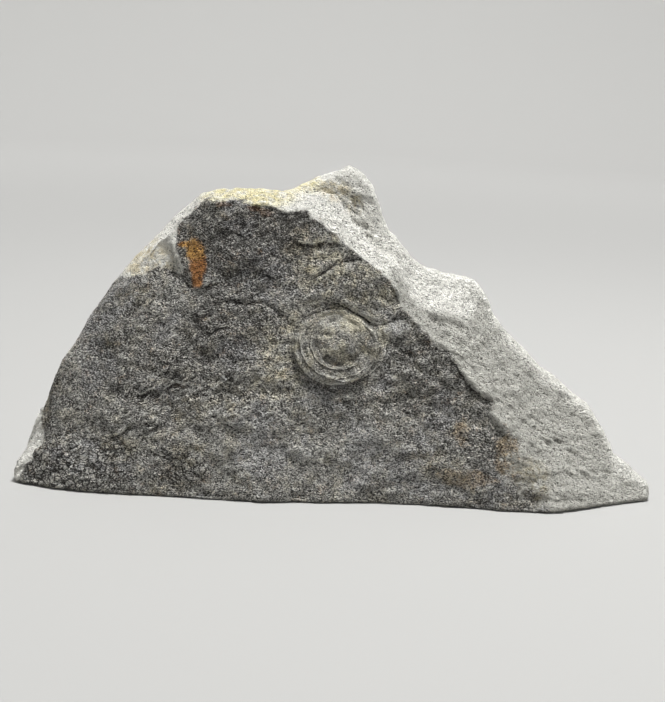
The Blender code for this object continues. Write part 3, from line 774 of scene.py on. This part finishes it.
def blurred(values, passes):
    """The values averaged with their four neighbours on the grid, a few times over."""
    for _ in range(passes):
        wide = np.pad(values, ((1, 1), (0, 0)), mode="edge")
        values = (wide[:-2] + wide[2:] + np.roll(values, 1, 1) + np.roll(values, -1, 1)) / 4
    return values


def toned_and_lit(x, z):
    """Sum of the patches that are paler or darker than the skin round them, a few of which are
    painted highlight and shade.
    """
    return sum(paler * over([place], x, z) for *place, paler in TONES_AND_LIGHT)


def undercut_shade(x, z):
    """1 along the hollow below the lower rim of the disc, where painted shade darkens it."""
    out, heading = oval(x, z, *DISC[:2])
    below = facing(heading, DISC_STEP_SIDE, *UNDERCUT_TURN)
    place, width, _ = MOAT
    return below * hump(out * DISC[1][1] - place, width)


def stain_fields(points, rise, is_front, to_crest):
    """Fields over the grid that the material reads, by name."""
    x, z = points[..., 0], points[..., 2]
    skin = within(SKIN_EDGE, *ragged(points, EDGE_WANDER))
    skin = np.clip(skin, -SKIN_DEPTH, SKIN_DEPTH) / (1 + (SMUDGE - 1) * over([SMUDGED], x, z))
    shoulder, crest = (rail(line, x.ravel())[1].reshape(x.shape) for line in (SHOULDER, CREST))
    grey_top = shoulder + (crest - GREY_RIM - shoulder) * smooth(*GREY_CLIMB, x)
    places = {"rust": RUST, "golden": GOLDEN, "small_rust": SMALL_RUST, "tan": TAN_SPOTS,
              "ochre": OCHRE, "washed": WASHED, "flaked": FLAKED, "wrinkled": WRINKLED,
              "blistered": BLISTERED, "yellow": TOP_YELLOW, "dirt_and_shade": BREAK_DIRT_AND_SHADE, "fleck": FLECKS}
    return {
        **{name: over(ovals, x, z) * is_front for name, ovals in places.items()},
        "skin": np.where(is_front, skin, -SKIN_DEPTH),
        "tone_and_light": toned_and_lit(x, z) * is_front,
        "growth": oval(*ragged(points, RING_WANDER), *DISC[:2])[0] * DISC[1][0],
        "undercut_shade": undercut_shade(*ragged(points, RING_WANDER)) * is_front,
        "ledge": np.where(is_front, nearest_ledge(points), FAR),
        "crack": np.where(is_front, nearest_crack(points), FAR),
        "steep": smooth(*STEEP_RIDGE, x) * is_front,
        "weathered_and_shaded": smooth(*GREY_START, x) * smooth(*GREY_EDGE, z - grey_top),
        "bruised_and_lit": np.maximum(smooth(*BRUISE, to_crest), over(CLEAN_AND_LIT_SAND, x, z) * is_front),
        "proud": np.clip(rise - blurred(rise, PROUD_PASSES), -PROUD_LIMIT, PROUD_LIMIT),
    }


# ----------------------------------------------------------------------
# The skin of the stone as one closed mesh: the grid of stations and rows, a blunt nose at each
# end that shrinks to a single point, and the box of the solid that it stands for.

NOSE = [radians(angle) for angle in (20, 40, 60, 75, 85)]


def with_noses(grid):
    """The grid with loops added at both ends that shrink along a quarter circle."""
    ends = []
    for section, side in (grid[0], -1), (grid[-1], 1):
        middle = np.array([section[0, 0], section[:, 1].mean(), END_HEIGHT])
        loops = [middle + (section - middle) * cos(angle) for angle in NOSE]
        for loop, angle in zip(loops, NOSE):
            loop[:, 0] = section[0, 0] + side * END_ROUNDING * sin(angle)
        ends.append((loops, middle + (side * END_ROUNDING, 0, 0)))
    (left, left_tip), (right, right_tip) = ends
    return np.concatenate([left[::-1], grid, right]), np.array([left_tip, right_tip])


def field_with_noses(field):
    """A field's values carried out over the loops and tips that close the ends."""
    left = np.repeat(field[:1], len(NOSE), 0)
    right = np.repeat(field[-1:], len(NOSE), 0)
    tips = [field[0].mean(), field[-1].mean()]
    return np.concatenate([left, field, right]).ravel().tolist() + tips


def closed_faces(loops, rows):
    """Four-sided faces between neighbouring loops, and fans of triangles to the two tips."""
    low = np.arange(loops * rows).reshape(loops, rows)
    high = np.roll(low, -1, 1)
    quads = np.stack([low[:-1], high[:-1], high[1:], low[1:]], -1).reshape(-1, 4)
    left_tip, right_tip = loops * rows, loops * rows + 1
    left = np.stack([high[0], low[0], np.full(rows, left_tip)], -1)
    right = np.stack([low[-1], high[-1], np.full(rows, right_tip)], -1)
    return quads.tolist() + left.tolist() + right.tolist()


smooth_slab, surface, rise, is_front, to_crest = stone_surface()
fields = stain_fields(smooth_slab, rise, is_front, to_crest)
loops, tips = with_noses(surface)
places = np.concatenate([loops.reshape(-1, 3), tips])
low, high = places.min(axis=0), places.max(axis=0)
solid_low, solid_high = (np.array(corner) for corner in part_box("fossil_slab"))
places = solid_low + (places - low) * (solid_high - solid_low) / (high - low)

stone_mesh = bpy.data.meshes.new("sandstone_slab")
stone_mesh.from_pydata(places.tolist(), [], closed_faces(*loops.shape[:2]))
for name, field in fields.items():
    kept = stone_mesh.attributes.new(name, "FLOAT", "POINT")
    kept.data.foreach_set("value", field_with_noses(field))
stone_mesh.shade_smooth()
stone_mesh.update()
stone = bpy.data.objects.new("sandstone_slab", stone_mesh)
bpy.context.collection.objects.link(stone)


# ----------------------------------------------------------------------
# The look of the stone: sand grains of different greys, a dark skin that fills the hollows and
# is rubbed off the grain tops, and rust, with painted light and shade on some marks. All of it is
# worked out from the place on the stone.

class Wire:
    """A number running through a material; Python's operators add the Math nodes."""

    def __init__(self, material, socket):
        self.material, self.socket = material, socket

    def maths(self, operation, *others):
        """A Math node on this number and the others."""
        inputs = {place: other for place, other in enumerate((self,) + others)}
        return self.material.node("ShaderNodeMath", {"operation": operation}, inputs)

    def __add__(self, other):
        return self.maths("ADD", other)

    def __sub__(self, other):
        return self.maths("SUBTRACT", other)

    def __mul__(self, other):
        return self.maths("MULTIPLY", other)

    def __rsub__(self, other):
        return (self * -1) + other

    __radd__, __rmul__ = __add__, __mul__

    def apart(self, middle=0.5):
        """Distance from the middle value, so smooth noise turns into thin lines where it is 0."""
        return (self - middle).maths("ABSOLUTE")

    def ramp(self, low, high):
        """0 below low, 1 above high, eased between them; falls if low is above high."""
        settings = {"interpolation_type": "SMOOTHSTEP"}
        inputs = {"Value": self, "From Min": low, "From Max": high}
        return self.material.node("ShaderNodeMapRange", settings, inputs)


class Finish:
    """A node material under construction."""

    def __init__(self, name):
        self.made = bpy.data.materials.new(name)
        self.made.use_nodes = True
        self.tree = self.made.node_tree
        self.shader = self.tree.nodes["Principled BSDF"]

    def node(self, kind, settings, inputs, output=0):
        """Adds a node, sets its settings, then feeds its sockets values or wires."""
        made = self.tree.nodes.new(kind)
        for name, value in settings.items():
            setattr(made, name, value)
        for name, value in inputs.items():
            self.feed(made.inputs[name], value)
        return Wire(self, made.outputs[output])

    def feed(self, socket, value):
        """Links a wire to the socket, or sets the socket to a value."""
        if isinstance(value, Wire):
            self.tree.links.new(value.socket, socket)
        else:
            socket.default_value = value

    def field(self, name):
        """A field kept on the mesh."""
        return self.node("ShaderNodeAttribute", {"attribute_name": name}, {}, "Fac")

    def stretched(self, place, scale):
        """The place with each axis multiplied by the scale."""
        return self.node("ShaderNodeVectorMath", {"operation": "MULTIPLY"}, {0: place, 1: scale})

    def noise(self, place, size, detail=2.0, roughness=0.5, curl=0.0):
        """Smooth noise with lumps of that size in millimetres, around 0.5."""
        inputs = {"Vector": place, "Scale": 1 / size, "Detail": detail, "Roughness": roughness,
                  "Distortion": curl}
        return self.node("ShaderNodeTexNoise", {}, inputs)

    def shaken(self, place, size, reach):
        """The place shifted by up to the reach, smoothly over that size."""
        drift = self.node("ShaderNodeTexNoise", {}, {"Vector": place, "Scale": 1 / size}, "Color")
        return self.node("ShaderNodeVectorMath", {"operation": "MULTIPLY_ADD"},
                         {0: drift, 1: (2 * reach,) * 3, 2: place})

    def leaning(self, place, degrees):
        """The place turned in the face's plane, so stretched noise runs up to the right."""
        return self.node("ShaderNodeVectorRotate", {"rotation_type": "Y_AXIS"},
                         {"Vector": place, "Angle": radians(degrees)})

    def cells(self, place, size, feature="F1", output="Distance"):
        """Scattered cells of that size in millimetres."""
        inputs = {"Vector": place, "Scale": 1 / size}
        return self.node("ShaderNodeTexVoronoi", {"feature": feature}, inputs, output)

    def mixed(self, share, first, second):
        """Vectors mixed: the first at share 0, the second at share 1."""
        sockets = {0: share, 4: first, 5: second}
        return self.node("ShaderNodeMix", {"data_type": "VECTOR"}, sockets, 1)

    def blend(self, share, first, second, how="MIX"):
        """Colours mixed: the first at share 0, the second at share 1."""
        settings = {"data_type": "RGBA", "blend_type": how}
        return self.node("ShaderNodeMix", settings, {0: share, 6: first, 7: second}, 2)

    def tinted(self, share, colour, tint):
        """The colour, multiplied by the tint where the share is 1."""
        return self.blend(share, colour, tint, "MULTIPLY")


def srgb(red, green, blue):
    """A screen colour of 0 to 255 as the linear colour that a material takes."""
    linear = [(v / 255 / 12.92) if v <= 10 else ((v / 255 + 0.055) / 1.055) ** 2.4
              for v in (red, green, blue)]
    return (*linear, 1.0)


GRIME_AND_SHADE = srgb(52, 50, 47)
SKIN_DARK = srgb(120, 118, 114)
SKIN_GREY = srgb(162, 161, 155)
RUBBED_AND_LIT_GRAIN = srgb(222, 220, 212)
WASHED_TINT = srgb(255, 252, 241)
OCHRE_TINT = srgb(255, 246, 220)
BLUE_TINT = srgb(249, 250, 255)
RUST_GRIME_AND_SHADE = srgb(84, 54, 28)
RUST_DEEP = srgb(178, 116, 56)
RUST_GOLD = srgb(214, 164, 82)
TAN = srgb(200, 168, 112)
BREAK_SHADE = srgb(114, 113, 106)
BREAK_GREY = srgb(222, 220, 212)
BREAK_PALE = srgb(248, 246, 238)
YELLOW_TINT = srgb(255, 246, 202)
DIRT_AND_SHADE_TINT = srgb(228, 219, 197)
WEATHER_AND_SHADE_TINT = srgb(211, 211, 209)
FLECK_WHITE = srgb(245, 245, 240)
PER_METRE = 1000.0            # object coordinates are metres, and the patterns are millimetres
GRAIN_RELIEF = 0.8            # depth of the bump, in millimetres


def patterns(f):
    """The noises that the finishes share, each around 0.5, and the sand that they add up to."""
    coordinates = f.node("ShaderNodeTexCoord", {}, {}, "Object")
    noise = SimpleNamespace(place=f.stretched(coordinates, (PER_METRE,) * 3))

    # Every grain has its own shade, and thin gaps and threads wind between them
    swirled = f.shaken(noise.place, 8.0, 2.5)
    drawn_out = f.stretched(swirled, (0.5, 1.0, 1.1))
    noise.grain = f.cells(noise.place, 0.55, output="Color")
    noise.grain_top = f.cells(noise.place, 0.70)
    noise.speckle = f.noise(f.stretched(swirled, (0.6, 1.0, 1.1)), 0.5, detail=0.7, curl=0.6)
    noise.gap, noise.thread = [
        f.noise(drawn_out, size, detail=1.0, curl=1.5).apart().ramp(0.06, 0.0)
        for size in (1.1, 1.35)]

    # Lumps, from a few grains to a hand's breadth
    noise.cluster = f.noise(noise.place, 2.4, detail=2.0, roughness=0.6)
    noise.patchy = f.noise(noise.place, 5.0, detail=3.0, roughness=0.65)
    noise.mottle = f.noise(noise.place, 6.0, detail=3.0, roughness=0.6)
    noise.drift = f.noise(noise.place, 26.0, detail=3.0, roughness=0.55)
    noise.sand = (noise.speckle.ramp(0.28, 0.72) * 1.1 + noise.grain * 0.5 - noise.gap * 0.5
                  + noise.thread * 0.5 + noise.cluster * 0.5 + 0.44)
    return noise


def marks(f, noise):
    """Small marks in the skin, each 0 where there is none."""
    mark = SimpleNamespace()

    # Flakes: shelves of a smooth field, each with painted shade at its foot and a crisp step up
    flaked = f.field("flaked") * 0.6 + 0.4
    beds = f.stretched(noise.place, (0.8, 1.0, 1.1))
    levels = f.noise(beds, 9.0, detail=3.0, roughness=0.6) * 6.0
    part = levels.maths("FRACT")
    mark.shelf = (levels * 0.45 - part + part.ramp(0.0, 0.20)) * flaked
    mark.shelf_foot = part.ramp(0.80, 1.0) * part.ramp(1.0, 0.97) * flaked

    # Wrinkles of the old mat: thin folds that run up to the right
    mat = f.stretched(f.leaning(noise.place, 28), (0.35, 1.0, 1.0))
    folds = f.noise(mat, 2.6, detail=1.5, curl=0.5)
    mark.fold = folds.apart().ramp(0.035, 0.0) * f.field("wrinkled")

    # Growth lines of the jellyfish, broken up by noise
    growth = f.field("growth")
    waves = (growth * 4.6 + noise.cluster * 7.0).maths("SINE")
    mark.growth_line = waves * growth.ramp(23.0, 20.0) * growth.ramp(8.5, 11.0)

    # Ledges and cracks: a painted highlight on the lip, painted shade under it and in each crack
    frayed = (noise.speckle - 0.5) * 1.2
    ledge = f.field("ledge") + frayed
    mark.lip = ledge.ramp(-0.05, 0.25) * ledge.ramp(1.1, 0.5)
    mark.under = ledge.ramp(0.10, -0.25) * ledge.ramp(-1.5, -0.6)
    mark.crack = (f.field("crack") + frayed).ramp(0.65, 0.2)

    # Seams between the blisters
    seams = f.cells(f.shaken(noise.place, 2.5, 0.9), 3.6, "DISTANCE_TO_EDGE")
    mark.seam = seams.ramp(0.12, 0.0) * f.field("blistered")
    return mark


def dark_skin(f, noise, mark):
    """The skin's colour, and how far it is rubbed: off the grain tops, least in the hollows;
    painted highlights and shade are added to it.
    """
    washed, undercut_shade = f.field("washed"), f.field("undercut_shade")
    on_disc = f.field("growth").ramp(23.0, 18.0)
    # The tone field adds the skin's own paler and darker patches, and painted highlights and shade
    # on the disc and its boss
    rubbed_and_lit = (noise.sand + noise.mottle * 0.6 + noise.drift * 0.35 - 1.45
              + f.field("proud") * 0.22 + washed * 0.10 + f.field("tone_and_light")
              + mark.growth_line * 0.04 - (noise.sand - 1.4) * on_disc * 0.35)
    # The foot of each flake is darkened as painted shade
    rubbed_and_lit = rubbed_and_lit - mark.seam * 0.7 - mark.shelf_foot * 0.35 + mark.fold * 0.3
    # Painted highlights on the lips of ledges and rings; painted shade under them, in the cracks
    # and in the hollow below the disc
    rubbed_and_lit = rubbed_and_lit + mark.lip * 0.50 - mark.under * 0.30 - mark.crack * 0.6 - undercut_shade * 0.14
    rubbed_and_lit = rubbed_and_lit - f.field("skin").ramp(3.0, 0.5) * 0.12
    skin = f.blend(rubbed_and_lit.ramp(0.0, 0.40), GRIME_AND_SHADE, SKIN_DARK)
    skin = f.blend(rubbed_and_lit.ramp(0.30, 0.70), skin, SKIN_GREY)
    skin = f.blend(rubbed_and_lit.ramp(0.62, 1.1), skin, RUBBED_AND_LIT_GRAIN)
    # Bluer where the drift runs high, and bluer in the hollow below the disc as part of its painted
    # shade
    blue = (noise.drift.ramp(0.50, 0.62) + undercut_shade * 1.5) * (1 - washed * 0.7)
    ochre = (f.field("ochre") * noise.patchy.ramp(0.38, 0.62) * 0.4
             + noise.mottle.ramp(0.48, 0.66) * 0.3)
    skin = f.tinted(washed * noise.mottle.ramp(0.3, 0.6), skin, WASHED_TINT)
    skin = f.tinted(blue.ramp(0.0, 1.0), skin, BLUE_TINT)
    skin = f.tinted(ochre, skin, OCHRE_TINT)
    return skin, rubbed_and_lit


def spots(f, noise, name, patchy, speckle, start, full):
    """Patches with frayed edges: 0 where a field and its share of the noises reach the start."""
    return (f.field(name) + noise.patchy * patchy + noise.speckle * speckle).ramp(start, full)


def rusted(f, noise, skin, rubbed_and_lit):
    """The skin with its rust, golden above and deeper below, its tan patches and pale flecks."""
    golden = noise.patchy * 0.5 + noise.speckle * 0.6 + f.field("golden") * 0.3
    rust = f.blend(golden.ramp(0.55, 0.95), RUST_DEEP, RUST_GOLD)
    # Rust darkens where the skin is least rubbed, and where painted shade falls
    rust = f.blend(rubbed_and_lit.ramp(-0.2, 0.40), RUST_GRIME_AND_SHADE, rust)
    tan = f.blend(rubbed_and_lit.ramp(0.0, 0.6), RUST_GRIME_AND_SHADE, TAN)
    skin = f.blend(spots(f, noise, "rust", 1.2, 0.9, 1.15, 2.05) * 0.9, skin, rust)
    skin = f.blend(spots(f, noise, "small_rust", 1.2, 0.9, 1.40, 2.60) * 0.45, skin, rust)
    skin = f.blend(spots(f, noise, "tan", 2.4, 1.4, 2.2, 3.4) * 0.42, skin, tan)
    return f.blend(f.field("fleck").ramp(0.4, 0.8), skin, FLECK_WHITE)


def fresh_break(f, noise):
    """The break's colour, clean pale sand that is shaded between the grains, and its pits, with
    painted light and shade: paler humps, darker hollows, a paler chip, a darker flank and a darker
    hollow behind the brow.
    """
    along_flank = f.stretched(f.leaning(noise.place, -24), (0.5, 1.0, 1.1))
    down_ridge = f.stretched(f.leaning(noise.place, -52), (0.4, 1.0, 1.1))
    strokes = f.noise(f.mixed(f.field("steep"), along_flank, down_ridge), 0.8, detail=2.0,
                      roughness=0.65, curl=0.6)
    pits = strokes.ramp(0.50, 0.38)
    # On the break the proud field is painted light and shade: humps paler, hollows darker
    open_sand = (noise.sand * 1.35 + strokes * 1.5 - pits * 0.3 + noise.mottle * 0.4 - 2.00
                 + f.field("proud") * 0.30 + f.field("bruised_and_lit") * 0.5)
    fresh = f.blend(open_sand.ramp(-0.05, 0.5), BREAK_SHADE, BREAK_GREY)
    fresh = f.blend(open_sand.ramp(0.4, 1.0), fresh, BREAK_PALE)
    # Grey weathering of the flank, partly painted shade that keeps it darker than the up-facing top
    fresh = f.tinted(f.field("weathered_and_shaded"), fresh, WEATHER_AND_SHADE_TINT)
    fresh = f.tinted(f.field("yellow") * noise.patchy.ramp(0.25, 0.65), fresh, YELLOW_TINT)
    # Dirt, and painted shade on the steep hollow behind the brow
    fresh = f.tinted(f.field("dirt_and_shade") * noise.patchy.ramp(0.35, 0.6), fresh, DIRT_AND_SHADE_TINT)
    return fresh, pits


def fine_relief(f, noise, mark, pits):
    """A bump: grains and the gaps between them, and the small unevenness that they lie on."""
    flaky = f.noise(f.stretched(noise.place, (0.5, 1.0, 1.2)), 1.7, detail=2.0, roughness=0.6,
                    curl=0.4)
    height = ((1 - noise.grain_top) * 0.45 + noise.speckle * 0.8 - noise.gap * 0.35
              + noise.thread * 0.3 + flaky * 1.8 + noise.cluster * 1.4 + mark.shelf * 0.5
              + mark.fold * 0.6 + mark.growth_line * 0.14 - mark.seam * 0.5 + mark.lip * 0.4
              - mark.crack * 0.6 - pits * 0.55)
    return f.node("ShaderNodeBump", {},
                  {"Strength": 1.0, "Distance": GRAIN_RELIEF / PER_METRE, "Height": height})


def sandstone():
    """Grainy sandstone: a pale fresh break, and a dark rubbed skin with rust and ochre on it."""
    f = Finish("sandstone")
    noise = patterns(f)
    mark = marks(f, noise)
    skin, rubbed_and_lit = dark_skin(f, noise, mark)
    skin = rusted(f, noise, skin, rubbed_and_lit)
    fresh, pits = fresh_break(f, noise)
    edge = (f.field("skin") + (noise.speckle - 0.5) * 2.0 + (noise.cluster - 0.5) * 2.4
            + (noise.patchy - 0.5) * 3.0)
    f.feed(f.shader.inputs["Base Color"], f.blend(edge.ramp(-0.4, 0.5), fresh, skin))
    f.feed(f.shader.inputs["Roughness"], 0.96 - noise.grain * 0.12)
    f.feed(f.shader.inputs["Normal"], fine_relief(f, noise, mark, pits))
    f.shader.inputs["Specular IOR Level"].default_value = 0.25
    return f.made


stone_mesh.materials.append(sandstone())
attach(stone, "root")
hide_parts("fossil_slab")


# ----------------------------------------------------------------------
# The studio: a pale cove that is flat under the stone and curves up far from it on every side,
# one soft lamp almost overhead that picks out the relief, and a camera that looks slightly down.

# Lengths here are metres
COVE_FLAT, COVE_RISE = 2.2, 1.6          # radius of the flat floor, and of the curve
COVE_RINGS = [0.02, 0.6, 1.4]            # radii of the rings of faces in the flat floor
COVE_STEPS, COVE_SIDES = 24, 96
COVE_COLOUR = (0.36, 0.357, 0.346, 1)


def cove():
    """A surface of revolution: a flat disc, then a quarter circle that rises from its edge."""
    turn = np.linspace(0, radians(90), COVE_STEPS + 1)
    radius = np.concatenate([COVE_RINGS, COVE_FLAT + COVE_RISE * np.sin(turn)])
    height = np.concatenate([0 * np.array(COVE_RINGS), COVE_RISE * (1 - np.cos(turn))])
    around = np.linspace(0, radians(360), COVE_SIDES, endpoint=False)
    grid = np.stack([radius[:, None] * np.cos(around), radius[:, None] * np.sin(around),
                     np.broadcast_to(height[:, None], (len(radius), COVE_SIDES))], -1)
    numbers = np.arange(grid[..., 0].size).reshape(grid.shape[:2])
    turned_on = np.roll(numbers, -1, 1)
    quads = np.stack([numbers[:-1], numbers[1:], turned_on[1:], turned_on[:-1]], -1)
    mesh = bpy.data.meshes.new("cove")
    mesh.from_pydata(grid.reshape(-1, 3).tolist(), [],
                     quads.reshape(-1, 4).tolist() + [numbers[0].tolist()])
    mesh.shade_smooth()
    return bpy.data.objects.new("cove", mesh)


floor = cove()
bpy.context.collection.objects.link(floor)
paper = Finish("cove_paper")
paper.feed(paper.shader.inputs["Base Color"], COVE_COLOUR)
paper.feed(paper.shader.inputs["Roughness"], 0.9)
floor.data.materials.append(paper.made)


BACKDROP_LAMPS = [(30, 52), (90, 52), (150, 52), (210, 42), (270, 42), (330, 42)]  # heading, watts
BACKDROP_FROM, BACKDROP_TO = (1.8, 2.2), (3.4, 0.2)     # distance out and height of lamp and aim
SKY_COLOUR, SKY_STRENGTH = (0.9, 0.95, 1.0, 1), 0.10


def lamp(name, place, aim, size, power, spread=180):
    """A square area lamp that faces the point it is aimed at; its light spreads that wide."""
    light = bpy.data.lights.new(name, "AREA")
    light.size, light.energy, light.spread = size, power, radians(spread)
    made = bpy.data.objects.new(name, light)
    made.location = place
    made.rotation_euler = (Vector(aim) - Vector(place)).to_track_quat("-Z", "Y").to_euler()
    bpy.context.collection.objects.link(made)


lamp("overhead", place=(0.14, 0.015, 1.30), aim=(0, 0, 0.05), size=0.30, power=28)
for number, (heading, power) in enumerate(BACKDROP_LAMPS):
    outward = Vector((cos(radians(heading)), sin(radians(heading)), 0))
    place, aim = [distance * outward + Vector((0, 0, height))
                  for distance, height in (BACKDROP_FROM, BACKDROP_TO)]
    lamp(f"backdrop_{number}", place, aim, size=1.6, power=power, spread=160)
world = bpy.data.worlds.new("studio")
world.use_nodes = True
sky = world.node_tree.nodes["Background"]
sky.inputs["Color"].default_value, sky.inputs["Strength"].default_value = SKY_COLOUR, SKY_STRENGTH
bpy.context.scene.world = world
bpy.context.scene.view_settings.view_transform = "Standard"

CAMERA_PLACE = (-6.25, -557.64, 198.54)     # millimetres from the middle of the stone's base
CAMERA_PITCH, CAMERA_ROLL = radians(13.6), radians(3.3)
CAMERA_LENS = 60.0


def camera():
    """A camera that looks along +Y, tipped down by the pitch and turned about its own axis."""
    ahead = Vector((0, cos(CAMERA_PITCH), -sin(CAMERA_PITCH)))
    level, up = Vector((1, 0, 0)), Vector((0, sin(CAMERA_PITCH), cos(CAMERA_PITCH)))
    right = cos(CAMERA_ROLL) * level + sin(CAMERA_ROLL) * up
    above = cos(CAMERA_ROLL) * up - sin(CAMERA_ROLL) * level
    view = bpy.data.cameras.new("camera")
    view.lens, view.sensor_width, view.clip_start = CAMERA_LENS, 36.0, 0.01
    made = bpy.data.objects.new("camera", view)
    turn = Matrix((right, above, -ahead)).transposed().to_4x4()
    made.matrix_world = Matrix.Translation(Vector(CAMERA_PLACE) / PER_METRE) @ turn
    bpy.context.collection.objects.link(made)
    return made


bpy.context.scene.camera = camera()
